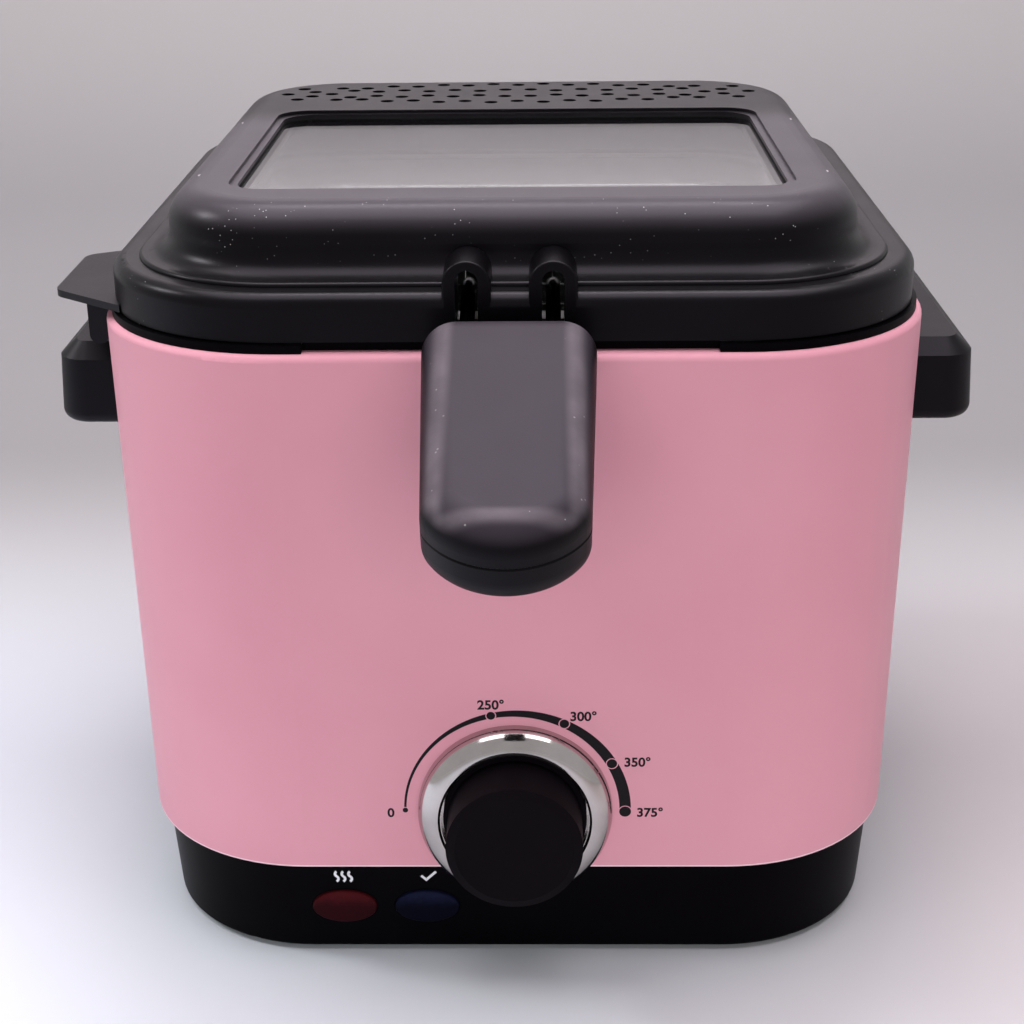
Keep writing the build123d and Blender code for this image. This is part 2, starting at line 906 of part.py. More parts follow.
def make_lid():
    """Moulded lid: skirt, stepped shoulder, dome, tunnels, window collar, vents and barrel."""
    skirt = block(lid_inset, skirt_bottom, shoulder_height)
    skirt = fillet(skirt.edges().group_by(Axis.Z)[-1], shoulder_round)
    shelf_height = shoulder_height + step_rise
    shelf = block(lid_inset + step_inset, shoulder_height - step_rise, shelf_height)
    shelf = fillet(shelf.edges().group_by(Axis.Z)[-1], step_round)
    dome = block(lid_inset + dome_inset, shoulder_height - step_rise, dome_top)
    dome = fillet(dome.edges().group_by(Axis.Z)[-1], dome_round)
    lid = skirt + shelf + dome
    foot_reach = dome_half_depth + near
    foot = lid.edges().filter_by(
        lambda e: abs(e.center().Z - shelf_height) < near
        and e.bounding_box().max.Y < foot_reach
        and e.bounding_box().min.Y > -foot_reach
    )
    lid = fillet(foot, dome_fillet)

    cavity = block(lid_inset + lid_wall, skirt_bottom, shoulder_height - lid_wall)
    dome_cavity = block(lid_inset + dome_inset + lid_wall, skirt_bottom, plateau_under)
    cavity += fillet(dome_cavity.edges().group_by(Axis.Z)[-1], dome_round - lid_wall)
    front = -rear_skirt
    tunnels = []
    slots = []
    for x in (-wire_spacing / 2, wire_spacing / 2):
        arch = tunnel_top - tunnel_radius
        tunnel = Pos(x, front + tunnel_length / 2, arch) * Rot(90, 0, 0) * Cylinder(
            tunnel_radius, tunnel_length
        )
        tunnel += Pos(x, front + tunnel_length / 2, (arch + tunnel_floor) / 2) * Box(
            2 * tunnel_radius, tunnel_length, arch - tunnel_floor
        )
        tunnels.append(fillet(tunnel.faces().sort_by(Axis.Y)[0].edges(), tunnel_edge))
        slot_arch = slot_top - slot_width / 2
        depth = 2 * tunnel_length
        slot = Pos(x, front + depth / 4, slot_arch) * Rot(90, 0, 0) * Cylinder(
            slot_width / 2, depth
        )
        slot += Pos(x, front + depth / 4, (slot_arch + ring_top) / 2) * Box(
            slot_width, depth, slot_arch - ring_top
        )
        slots.append(slot)
    lid -= cavity
    for tunnel in tunnels:
        lid += tunnel
    for slot in slots:
        lid -= slot

    collar_low = dome_top - window_drop
    lid -= window_slab(glass_lap + slip, plateau_under, collar_low)
    for x, y in window_screw_places():
        lid += rod(window_boss_radius, glass_bottom, dome_top - lid_wall / 2, x, y)
        lid -= rod(window_screw_radius, glass_bottom, glass_bottom + window_screw_length, x, y)
    lid -= window_slab(-window_step, collar_low, dome_top)
    lid -= window_slab(0, dome_top - window_step_drop, dome_top)

    holes = Sketch() + [Pos(x, y) * Circle(vent_radius) for x, y in vent_places()]
    lid -= extrude(Pos(0, 0, plateau_under) * holes, amount=lid_wall)

    half = barrel_length / 2
    barrel = side_rod(hinge_radius, -half, half, hinge_y, hinge_z)
    barrel += Pos(0, (rear_skirt + hinge_y) / 2, hinge_z) * Box(
        barrel_length, hinge_y - rear_skirt, barrel_web
    )
    lid += barrel
    lid -= side_rod(hinge_pin_radius + hinge_fit, -half, half, hinge_y, hinge_z)
    lid -= tab_plate()
    inner = body_width / 2 - lid_inset - lid_wall
    tip = inner - tab_flange_wall + tab_screw_length
    for y in tab_screw_ys():
        lid -= side_rod(tab_screw_radius, -tip, -inner, y, tab_screw_height)
    return lid


def tab_plate():
    """Tapering plate of the lift tab, from the inner flange to its tip."""
    inner = body_width / 2 - lid_inset - lid_wall - tab_flange_wall
    tip = body_width / 2 - lid_inset + tab_overhang
    shape = make_face(
        Polyline(
            (-inner, tab_front),
            (-tip, tab_front + tab_front_taper),
            (-tip, tab_front + tab_length - tab_rear_taper),
            (-inner, tab_front + tab_length),
            close=True,
        )
    )
    tips = shape.vertices().sort_by(Axis.X)[:2]
    shape = fillet(tips, tab_corner)
    return extrude(Pos(0, 0, skirt_bottom) * shape, amount=tab_thickness)


tab_screw_height = skirt_bottom + tab_screw_rise
tab_flange_length = tab_screw_spacing + 4 * tab_screw_head_radius
tab_flange_y = corner_radius - body_depth / 2 + tab_flange_margin + tab_flange_length / 2


def tab_screw_ys():
    """Places of the tab's screws along the straight part of the skirt."""
    return [tab_flange_y - tab_screw_spacing / 2, tab_flange_y + tab_screw_spacing / 2]


def make_tab():
    """Lift tab: a tapering plate, an inner flange and a hollow prong below."""
    inner = body_width / 2 - lid_inset - lid_wall
    tab = tab_plate()
    flange_low = skirt_bottom + tab_thickness
    tab += Pos(-inner + tab_flange_wall / 2, tab_flange_y, flange_low + tab_flange_height / 2) * Box(
        tab_flange_wall, tab_flange_length, tab_flange_height
    )
    for y in tab_screw_ys():
        tab -= side_rod(tab_screw_radius, -inner, -inner + tab_flange_wall, y, tab_screw_height)
    prong_x = body_width / 2 + prong_gap + prong_width / 2
    prong_y = tab_front + prong_back
    prong = Pos(-prong_x, prong_y, skirt_bottom - prong_drop / 2) * Box(
        prong_width, prong_length, prong_drop
    )
    prong = fillet(prong.faces().sort_by(Axis.Z)[0].edges().filter_by(Axis.Y), prong_round)
    prong -= Pos(-prong_x, prong_y + prong_wall, skirt_bottom - prong_drop / 2 + prong_wall) * Box(
        prong_width - 2 * prong_wall, prong_length, prong_drop
    )
    return tab + prong


def make_tab_screws():
    """Small screws from inside the lid through the tab's flange."""
    inner = body_width / 2 - lid_inset - lid_wall
    head = -inner + tab_flange_wall
    screws = []
    for y in tab_screw_ys():
        screw = side_rod(tab_screw_radius, head - tab_screw_length, head, y, tab_screw_height)
        screw += side_rod(tab_screw_head_radius, head, head + tab_screw_head, y, tab_screw_height)
        screws.append(screw)
    return screws


def make_window():
    """Glass pane below the window opening."""
    return window_slab(glass_lap, glass_bottom, glass_top)


def make_gasket():
    """Flat seal between the collar and the glass."""
    low = glass_top
    high = glass_top + gasket_thickness
    return window_slab(gasket_width - window_step, low, high) - window_slab(-window_step, low, high)


def make_window_frame():
    """Frame under the glass, screwed to the bosses beside it."""
    low = glass_bottom - frame_thickness
    frame = window_slab(glass_lap, low, glass_bottom)
    for x, y in window_screw_places():
        frame += rod(frame_ear, low, glass_bottom, x, y)
    frame -= window_slab(-frame_bar, low, glass_bottom)
    for x, y in window_screw_places():
        frame -= rod(window_screw_radius, low, glass_bottom, x, y)
    return frame


def make_window_screws():
    """Screws that hold the window frame."""
    low = glass_bottom - frame_thickness
    screws = []
    for x, y in window_screw_places():
        screw = rod(window_screw_radius, low, glass_bottom + window_screw_length, x, y)
        screw += rod(window_screw_head_radius, low - window_screw_head, low, x, y)
        screws.append(screw)
    return screws


def make_filter():
    """Charcoal pad that lies in the filter tray under the vents."""
    pad = Pos(0, filter_y, plateau_under - filter_thickness) * SlotOverall(filter_width, filter_depth)
    return extrude(pad, amount=filter_thickness)


def make_filter_cover():
    """Slotted tray that holds the pad against the lid."""
    low = plateau_under - filter_thickness - filter_tray_wall
    width = filter_width + 2 * filter_tray_wall
    depth = filter_depth + 2 * filter_tray_wall
    tray = extrude(Pos(0, filter_y, low) * SlotOverall(width, depth), amount=plateau_under - low)
    tray -= make_filter()
    slot = SlotOverall(filter_depth - 2 * filter_slot_width, filter_slot_width, rotation=90)
    slots = Sketch() + [spot * slot for spot in GridLocations(filter_slot_pitch, 1, filter_slots, 1)]
    tray -= extrude(Pos(0, filter_y, low) * slots, amount=filter_tray_wall)
    return tray


def basket_inset_at(height):
    """Inset of the basket's outer face at a height."""
    return basket_inset + (basket_top - height) * basket_slope


def make_basket_rim():
    """Rim wire round the basket's mouth."""
    path = Pos(0, 0, basket_top) * outline(basket_inset + basket_wall / 2)
    wire = path.face().outer_wire()
    section = Plane(origin=wire @ 0, z_dir=wire % 0) * Circle(rim_wire_radius)
    return sweep(section, path=wire)


def make_basket():
    """Tub in the outer shape of the wire basket, open at its mouth."""
    basket = leaning_block(
        basket_inset_at(basket_bottom), basket_bottom, basket_inset, basket_top
    )
    floor = basket_bottom + basket_wall
    basket -= leaning_block(
        basket_inset_at(floor) + basket_wall, floor, basket_inset + basket_wall, basket_top
    )
    return basket - make_basket_rim()


def make_bracket():
    """Plate on the basket's front that carries the handle wire."""
    low = basket_inset_at(bracket_bottom)
    high = basket_inset_at(bracket_top)
    inner = leaning_block(low, bracket_bottom, high, bracket_top)
    outer = leaning_block(
        low - bracket_thickness, bracket_bottom, high - bracket_thickness, bracket_top
    )
    front = Pos(0, -body_depth / 2, (bracket_bottom + bracket_top) / 2) * Box(
        bracket_width, body_depth, body_top
    )
    return (outer - inner) & front


def grip_plane():
    """Plane in the grip's parting face: x across, y back up the handle, z out of the top."""
    slope = math.radians(grip_slope)
    return Plane(
        origin=(0, grip_rear, grip_parting),
        x_dir=(1, 0, 0),
        z_dir=(0, -math.sin(slope), math.cos(slope)),
    )


def make_handle_wire():
    """One bent wire: up from the bracket, out through the tunnels, round inside the grip."""
    slope = math.radians(grip_slope)
    x = wire_spacing / 2
    crest = grip_parting + (wire_y - grip_rear) * math.tan(slope)
    end_y = grip_rear - wire_in_grip * math.cos(slope)
    end_z = grip_parting - wire_in_grip * math.sin(slope)
    path = FilletPolyline(
        (-x, wire_y, wire_foot),
        (-x, wire_y, crest),
        (-x, end_y, end_z),
        (x, end_y, end_z),
        (x, wire_y, crest),
        (x, wire_y, wire_foot),
        radius=(wire_bend, wire_bend, wire_bend, wire_bend),
    )
    section = Plane(origin=path @ 0, z_dir=path % 0) * Circle(wire_radius)
    return sweep(section, path=path)


def grip_outline():
    """Plan of the grip: straight rear edge, tapering sides and a bowed nose."""
    rear = grip_rear_width / 2
    nose = grip_nose_width / 2
    shoulder = -(grip_length - grip_nose_bow)
    sides = Polyline((nose, shoulder), (rear, 0), (-rear, 0), (-nose, shoulder))
    bow = ThreePointArc((-nose, shoulder), (0, -grip_length), (nose, shoulder))
    shape = make_face([sides, bow])
    corners = shape.vertices().sort_by(Axis.Y)
    shape = fillet(corners[-2:], grip_rear_round)
    nose_corners = [v for v in shape.vertices() if abs(v.Y - shoulder) < near]
    return fillet(nose_corners, grip_nose_round)


grip_stations = (grip_screw_rear, grip_screw_rear + grip_screw_spacing)


def make_grip(upper):
    """One shell of the grip, bored for the wire and the screws."""
    if upper:
        shell = extrude(grip_outline(), amount=grip_upper_height)
        shell = fillet(shell.edges().group_by(Axis.Z)[-1], grip_upper_round)
        shell = chamfer(shell.edges().group_by(Axis.Z)[0], grip_seam)
    else:
        shell = extrude(grip_outline(), amount=-grip_lower_height)
        shell = fillet(shell.edges().group_by(Axis.Z)[0], grip_lower_round)
        shell = chamfer(shell.edges().group_by(Axis.Z)[-1], grip_seam)
    for station in grip_stations:
        seat = grip_screw_recess - grip_lower_height
        shell -= rod(grip_screw_radius, seat, seat + grip_screw_length + grip_screw_head, 0, -station)
        shell -= rod(grip_screw_head_radius, -2 * grip_lower_height, seat + grip_screw_head, 0, -station)
    return grip_plane() * shell - make_handle_wire()


def make_grip_screws():
    """Screws that hold the grip's two shells together."""
    screws = []
    seat = grip_screw_recess - grip_lower_height
    for station in grip_stations:
        screw = rod(grip_screw_radius, seat, seat + grip_screw_length + grip_screw_head, 0, -station)
        screw += rod(grip_screw_head_radius, seat, seat + grip_screw_head, 0, -station)
        screws.append(grip_plane() * screw)
    return screws


parts = {
    "housing_shell": make_housing(),
    "base_tray": make_tray(),
    "rubber_feet": make_feet(),
    "rim_ring": make_rim_ring(),
    "hinge_pin": make_hinge_pin(),
    "bowl": make_bowl(),
    "heat_plate": make_heat_plate(),
    "heating_element": element_solid(),
    "heat_shield": make_shield(),
    "thermal_cutout": make_cutout(),
    "tie_rods": make_tie_rods(),
    "tie_nuts": make_tie_nuts(),
    "thermostat_body": make_thermostat(),
    "thermostat_nut": make_dial_nut(),
    "thermostat_shaft": make_shaft(),
    "thermostat_bulb": make_bulb(),
    "dial_bezel": make_bezel(),
    "control_knob": make_knob(),
    "heating_lens": make_lens(heating_lamp_x),
    "ready_lens": make_lens(ready_lamp_x),
    "lamp_holders": make_lamp_holders(),
    "power_inlet": make_inlet(),
    "inlet_pins": make_inlet_pins(),
    "inlet_plates": make_inlet_plates(),
    "left_handle": make_handle(-1),
    "right_handle": make_handle(1),
    "handle_screws": make_handle_screws(),
    "lid_cover": make_lid(),
    "lid_window": make_window(),
    "window_gasket": make_gasket(),
    "window_frame": make_window_frame(),
    "window_screws": make_window_screws(),
    "charcoal_filter": make_filter(),
    "filter_cover": make_filter_cover(),
    "lift_tab": make_tab(),
    "tab_screws": make_tab_screws(),
    "basket": make_basket(),
    "basket_rim": make_basket_rim(),
    "basket_bracket": make_bracket(),
    "handle_wire": make_handle_wire(),
    "grip_upper": make_grip(True),
    "grip_lower": make_grip(False),
    "grip_screws": make_grip_screws(),
}

os.makedirs("parts", exist_ok=True)
solids = {
    name: Compound(shape) if isinstance(shape, list) else shape for name, shape in parts.items()
}
reach = Compound(list(solids.values())).bounding_box()
to_origin = Pos(0, -(reach.min.Y + reach.max.Y) / 2, 0)
for name, solid in solids.items():
    export_step(to_origin * solid, f"parts/{name}.step")
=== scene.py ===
"""Looks of a compact electric deep fryer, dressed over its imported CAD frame.

Sizes of pieces and finishes are in millimetres, those of camera and studio in metres.
"""

import logging
import math
from contextlib import contextmanager
from dataclasses import dataclass, replace
from enum import Enum
from typing import Any, Callable, Iterable, Iterator, NamedTuple, Sequence

import bmesh
import bpy
from mathutils import Matrix, Vector


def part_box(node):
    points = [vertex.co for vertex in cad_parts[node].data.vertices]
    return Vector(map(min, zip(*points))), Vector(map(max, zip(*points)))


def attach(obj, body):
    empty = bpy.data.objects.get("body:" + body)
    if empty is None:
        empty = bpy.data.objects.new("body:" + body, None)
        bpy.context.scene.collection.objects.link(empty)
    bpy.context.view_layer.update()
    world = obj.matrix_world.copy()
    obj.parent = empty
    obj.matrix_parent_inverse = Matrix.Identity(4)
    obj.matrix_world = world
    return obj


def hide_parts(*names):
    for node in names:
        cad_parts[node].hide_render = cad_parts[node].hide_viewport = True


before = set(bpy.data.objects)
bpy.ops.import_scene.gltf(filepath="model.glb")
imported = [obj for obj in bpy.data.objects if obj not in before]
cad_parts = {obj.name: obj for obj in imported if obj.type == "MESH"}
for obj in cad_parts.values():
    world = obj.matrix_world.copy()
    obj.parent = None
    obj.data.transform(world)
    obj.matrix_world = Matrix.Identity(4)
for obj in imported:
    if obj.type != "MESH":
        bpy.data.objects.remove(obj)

log = logging.getLogger("fryer")
Colour = tuple[float, float, float]
Place = tuple[float, float, float]
Pair = tuple[float, float]
Band = tuple[float, float, float]
Piece = bpy.types.Object
Socket = bpy.types.NodeSocket
Material = bpy.types.Material
WHITE: Colour = (1.0, 1.0, 1.0)
BLACK: Colour = (0.0, 0.0, 0.0)
GLOSS_TINT: Colour = (0.95, 0.88, 1.0)
MM = 0.001
TINY = 1e-6
# Y of the housing's middle in the frame, in millimetres.
MIDDLE = sum(corner[1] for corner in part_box("housing_shell")) / 2 / MM


class Body(str, Enum):
    """The bodies that new pieces ride on."""

    BASE = "base"
    BASKET = "basket_set"


class Slot(str, Enum):
    """Names of three finishes in the record, which no piece here takes."""

    BLACK = "black_plastic"
    WHITE = "lamp_white"
    WIRE = "wire_steel"


class Axis(Enum):
    """Coordinates that a finish can follow."""

    X = "X"
    Y = "Y"
    Z = "Z"


class Detail(Enum):
    """How many octaves a noise has."""

    PLAIN = 2.0
    FULL = 3.0
    RICH = 4.0


class Spots(NamedTuple):
    """Scattered spots: mean distance, radius, and the share of the surface that has them."""

    spacing: float
    radius: float
    share: float


def metres(sizes: Iterable[float]) -> tuple[float, ...]:
    """Turns sizes in millimetres into metres."""
    return tuple(size * MM for size in sizes)


class Value:
    """A number socket that can stand in a Python expression."""

    def __init__(self, nodes: "Nodes", socket: Socket) -> None:
        """Keeps the socket and the nodes that it belongs to."""
        self.nodes = nodes
        self.socket = socket

    def math(self, operation: str, left: Any, right: Any) -> "Value":
        """Adds one Math node.

        Args:
            operation: The Math node's operation.
            left: First number or value.
            right: Second number or value.

        Returns:
            The node's result.
        """
        node = self.nodes.node(
            "ShaderNodeMath", {"operation": operation}, {0: left, 1: right}
        )
        return Value(self.nodes, node.outputs[0])

    def __add__(self, other: Any) -> "Value":
        """Sum of two values."""
        return self.math("ADD", self, other)

    __radd__ = __add__

    def __sub__(self, other: Any) -> "Value":
        """Difference of two values."""
        return self.math("SUBTRACT", self, other)

    def __rsub__(self, other: Any) -> "Value":
        """Difference with a number on the left."""
        return self.math("SUBTRACT", other, self)

    def __mul__(self, other: Any) -> "Value":
        """Product of two values."""
        return self.math("MULTIPLY", self, other)

    __rmul__ = __mul__

    def __abs__(self) -> "Value":
        """Size of the value without its sign."""
        return self.math("ABSOLUTE", self, 0.0)

    def smooth(self, low: float, high: float) -> "Value":
        """Eases the value from 0 at low to 1 at high.

        Args:
            low: Value that gives 0.
            high: Value that gives 1.

        Returns:
            The eased value.
        """
        node = self.nodes.node(
            "ShaderNodeMapRange",
            {"interpolation_type": "SMOOTHSTEP"},
            {"Value": self, "From Min": low, "From Max": high},
        )
        return Value(self.nodes, node.outputs[0])

    def band(self, middle: float, half: float, soft: float) -> "Value":
        """Marks a soft band round one value.

        Args:
            middle: Value at the band's middle.
            half: Half of the band's width.
            soft: Width of its soft edges.

        Returns:
            Mask that is 1 inside the band.
        """
        return 1 - abs(self - middle).smooth(half - soft, half + soft)

    def swing(self, amount: float) -> "Value":
        """Turns noise from 0 to 1 into a swing about 0."""
        return (self - 0.5) * amount


class Nodes:
    """Adds nodes to one node tree."""

    def __init__(self, tree: bpy.types.NodeTree) -> None:
        """Keeps the tree."""
        self.tree = tree

    def node(
        self,
        kind: str,
        settings: dict[str, Any] | None = None,
        inputs: dict[Any, Any] | None = None,
    ) -> bpy.types.Node:
        """Adds a node.

        Args:
            kind: The node's type.
            settings: Properties that are set first.
            inputs: Values or links for its sockets.

        Returns:
            The new node.
        """
        node = self.tree.nodes.new(kind)
        for key, value in (settings or {}).items():
            setattr(node, key, value)
        for key, value in (inputs or {}).items():
            self.feed(node.inputs[key], value)
        return node

    def feed(self, socket: Socket, value: Any) -> None:
        """Links or sets one socket.

        Args:
            socket: The socket.
            value: A value or socket to link, or a number or colour to set.
        """
        source = value.socket if isinstance(value, Value) else value
        if isinstance(source, Socket):
            self.tree.links.new(source, socket)
        else:
            socket.default_value = source

    def seen(self) -> Value:
        """Tells what the camera looks at, also in a mirror or through glass.

        Returns:
            1 for such rays and 0 for other light.
        """
        path = self.node("ShaderNodeLightPath")
        rays = ("Is Camera Ray", "Is Glossy Ray", "Is Transmission Ray")
        straight, mirrored, through = (Value(self, path.outputs[name]) for name in rays)
        return (straight + mirrored + through).smooth(0.0, 1.0)


class Shader(Nodes):
    """Builds the node tree of one material."""

    spot_core = 0.5
    patch_size = 6.0
    patch_soft = 0.05

    def __init__(self, name: str) -> None:
        """Starts a material with a plain principled surface.

        Args:
            name: Name of the material.
        """
        self.material = bpy.data.materials.new(name)
        self.material.use_nodes = True
        super().__init__(self.material.node_tree)
        self.tree.nodes.clear()
        self.surface = self.node("ShaderNodeBsdfPrincipled")
        self.node("ShaderNodeOutputMaterial", None, {0: self.surface.outputs[0]})
        self.place = self.node("ShaderNodeTexCoord").outputs["Object"]

    def set(self, **inputs: Any) -> None:
        """Feeds the surface's own sockets.

        Args:
            inputs: Values by socket name, with _ for a space in a name.
        """
        for key, value in inputs.items():
            if isinstance(value, tuple) and len(value) == 3:
                value = (*value, 1.0)
            self.feed(self.surface.inputs[key.replace("_", " ")], value)

    def noise(
        self, size: float, detail: Detail = Detail.FULL, stretch: Place = (1, 1, 1)
    ) -> Value:
        """Cloudy noise.

        Args:
            size: Size of its features.
            detail: Octaves of the noise.
            stretch: How much finer it is along each axis.

        Returns:
            Noise from 0 to 1.
        """
        place = self.node("ShaderNodeMapping", None, {"Vector": self.place, "Scale": stretch})
        node = self.node(
            "ShaderNodeTexNoise",
            None,
            {"Vector": place.outputs[0], "Scale": 1 / (size * MM), "Detail": detail.value},
        )
        return Value(self, node.outputs[0])

    def cells(self, spacing: float) -> Value:
        """Distance from scattered points.

        Args:
            spacing: Mean distance of the points.

        Returns:
            Distance as a share of the spacing, 0 at a point.
        """
        node = self.node(
            "ShaderNodeTexVoronoi",
            {"feature": "F1"},
            {"Vector": self.place, "Scale": 1 / (spacing * MM)},
        )
        return Value(self, node.outputs[0])

    def specks(self, spots: Spots) -> Value:
        """Small scattered spots, which come in patches.

        Args:
            spots: Their distance, radius and share.

        Returns:
            Mask that is 1 on a spot.
        """
        radius = spots.radius / spots.spacing
        spot = 1 - self.cells(spots.spacing).smooth(radius * self.spot_core, radius)
        bare = 1 - spots.share
        patch = self.noise(spots.spacing * self.patch_size, Detail.PLAIN)
        return spot * patch.smooth(bare, bare + self.patch_soft)

    def axis(self, name: Axis) -> Value:
        """One coordinate of the piece, in metres."""
        node = self.node("ShaderNodeSeparateXYZ", None, {0: self.place})
        return Value(self, node.outputs[name.value])

    def mix(self, factor: Any, low: Any, high: Any, blend: str = "MIX") -> Socket:
        """Mixes two colours.

        Args:
            factor: Share of the second colour.
            low: First colour.
            high: Second colour.
            blend: Way in which they mix.

        Returns:
            The mixed colour's socket.
        """
        pair = [(*c, 1.0) if isinstance(c, tuple) else c for c in (low, high)]
        node = self.node(
            "ShaderNodeMix",
            {"data_type": "RGBA", "blend_type": blend},
            {0: factor, 6: pair[0], 7: pair[1]},
        )
        return node.outputs[2]

    def bump(self, height: Value, depth: float, strength: float = 1.0) -> None:
        """Raises the surface a little.

        Args:
            height: Relief from 0 to 1.
            depth: Depth of the relief.
            strength: Share of its effect.
        """
        node = self.node(
            "ShaderNodeBump",
            None,
            {"Strength": strength, "Distance": depth * MM, "Height": height},
        )
        self.set(Normal=node.outputs[0])


class Finish:
    """A finish that a material can take."""

    def apply(self, shader: Shader) -> None:
        """Sets colour, gloss and relief, which each finish does in its own way."""
        raise NotImplementedError


@dataclass(frozen=True)
class PaintFinish(Finish):
    """Satin paint on sheet metal, with a painted highlight along its lower edge."""

    colour: Colour = (0.715, 0.330, 0.405)
    shade: Colour = (0.690, 0.306, 0.382)
    cloud_size: float = 60.0
    cloud_ends: Pair = (0.3, 0.7)
    cloud_gloss: float = 0.10
    speck: Colour = (0.34, 0.13, 0.17)
    dust: Spots = Spots(9.0, 0.30, 0.40)
    dust_weight: float = 0.35
    # Colour of a painted highlight along the lower edge, where the sheet's rounded edge would catch
    # light.
    edge: Colour = (0.90, 0.66, 0.71)
    edge_height: float = 29.5
    edge_soft: float = 0.2
    edge_highlight_weight: float = 0.8
    roughness: float = 0.44
    specular: float = 0.16
    peel_size: float = 1.1
    peel_depth: float = 0.03
    peel_strength: float = 0.6

    def apply(self, shader: Shader) -> None:
        """Sets faint clouding, dust, a painted highlight along the lower edge and orange peel.

        Args:
            shader: The material's shader.
        """
        cloud = shader.noise(self.cloud_size)
        tone = shader.mix(cloud.smooth(*self.cloud_ends), self.shade, self.colour)
        tone = shader.mix(shader.specks(self.dust) * self.dust_weight, tone, self.speck)
        # Painted highlight: a pale line along the bottom of the sleeve.
        ends = metres((self.edge_height - self.edge_soft, self.edge_height))
        edge_highlight_mask = (1 - shader.axis(Axis.Z).smooth(*ends)) * self.edge_highlight_weight
        shader.set(Base_Color=shader.mix(edge_highlight_mask, tone, self.edge))
        gloss = self.roughness + cloud.swing(self.cloud_gloss)
        shader.set(Roughness=gloss, Specular_IOR_Level=self.specular)
        peel = shader.noise(self.peel_size, Detail.PLAIN)
        shader.bump(peel, self.peel_depth, self.peel_strength)


@dataclass(frozen=True)
class PlasticFinish(Finish):
    """Moulded plastic with a fine grain."""

    colour: Colour = (0.0008, 0.0006, 0.0010)
    pale: Colour = (0.0015, 0.0012, 0.0018)
    dirt: Colour = (0.30, 0.29, 0.30)
    roughness: float = 0.42
    grain: float = 0.45
    depth: float = 0.025
    dust: float = 0.35
    specular: float = 0.24
    cloud_size: float = 30.0
    cloud_ends: Pair = (0.25, 0.75)
    cloud_gloss: float = 0.14
    grain_gloss: float = 0.06
    grain_strength: float = 0.6
    dust_spacing: float = 7.0
    dust_radius: float = 0.20
    dust_weight: float = 0.5

    def tone(self, shader: Shader, cloud: Value) -> Socket:
        """Colour of the plastic, clouded and dusty.

        Args:
            shader: The material's shader.
            cloud: Its cloudy noise.

        Returns:
            The colour's socket.
        """
        dust = shader.specks(Spots(self.dust_spacing, self.dust_radius, self.dust))
        tone = shader.mix(cloud.smooth(*self.cloud_ends), self.colour, self.pale)
        return shader.mix(dust * self.dust_weight, tone, self.dirt)

    def apply(self, shader: Shader) -> None:
        """Sets clouded gloss, grain and dust.

        Args:
            shader: The material's shader.
        """
        cloud = shader.noise(self.cloud_size, Detail.RICH)
        grain = shader.noise(self.grain, Detail.PLAIN)
        gloss = cloud.swing(self.cloud_gloss) + grain.swing(self.grain_gloss)
        shader.set(Base_Color=self.tone(shader, cloud), Roughness=self.roughness + gloss)
        shader.set(Specular_IOR_Level=self.specular, Specular_Tint=GLOSS_TINT)
        shader.bump(grain, self.depth, self.grain_strength)


@dataclass(frozen=True)
class LidFinish(PlasticFinish):
    """Plastic of the lid, with a painted sheen on its top and specks on the front edge."""

    # Colour of a painted sheen that makes the lid's top paler, most at the front.
    film: Colour = (0.049, 0.042, 0.050)
    sheen_height: Pair = (190.5, 197.0)
    sheen_rear: Pair = (44.0, 74.0)
    sheen_weight: float = 0.75
    sheen_change: float = 0.5
    speck: Colour = (0.55, 0.54, 0.56)
    speck_band: Band = (-52.0, 5.0, 2.0)
    speck_spots: Spots = Spots(1.5, 0.16, 0.5)
    speck_weight: float = 0.8

    def tone(self, shader: Shader, cloud: Value) -> Socket:
        """Adds the painted sheen and specks to the plastic's colour.

        Args:
            shader: The material's shader.
            cloud: Its cloudy noise.

        Returns:
            The colour's socket.
        """
        back = shader.axis(Axis.Y)
        # Painted sheen: paler on top, fading out towards the rear.
        top = shader.axis(Axis.Z).smooth(*metres(self.sheen_height))
        front = 1 - back.smooth(*metres(self.sheen_rear))
        film = top * front * (self.sheen_weight + cloud * self.sheen_change)
        edge = back.band(*metres(self.speck_band))
        specks = edge * shader.specks(self.speck_spots) * self.speck_weight
        tone = shader.mix(film, super().tone(shader, cloud), self.film)
        return shader.mix(specks, tone, self.speck)


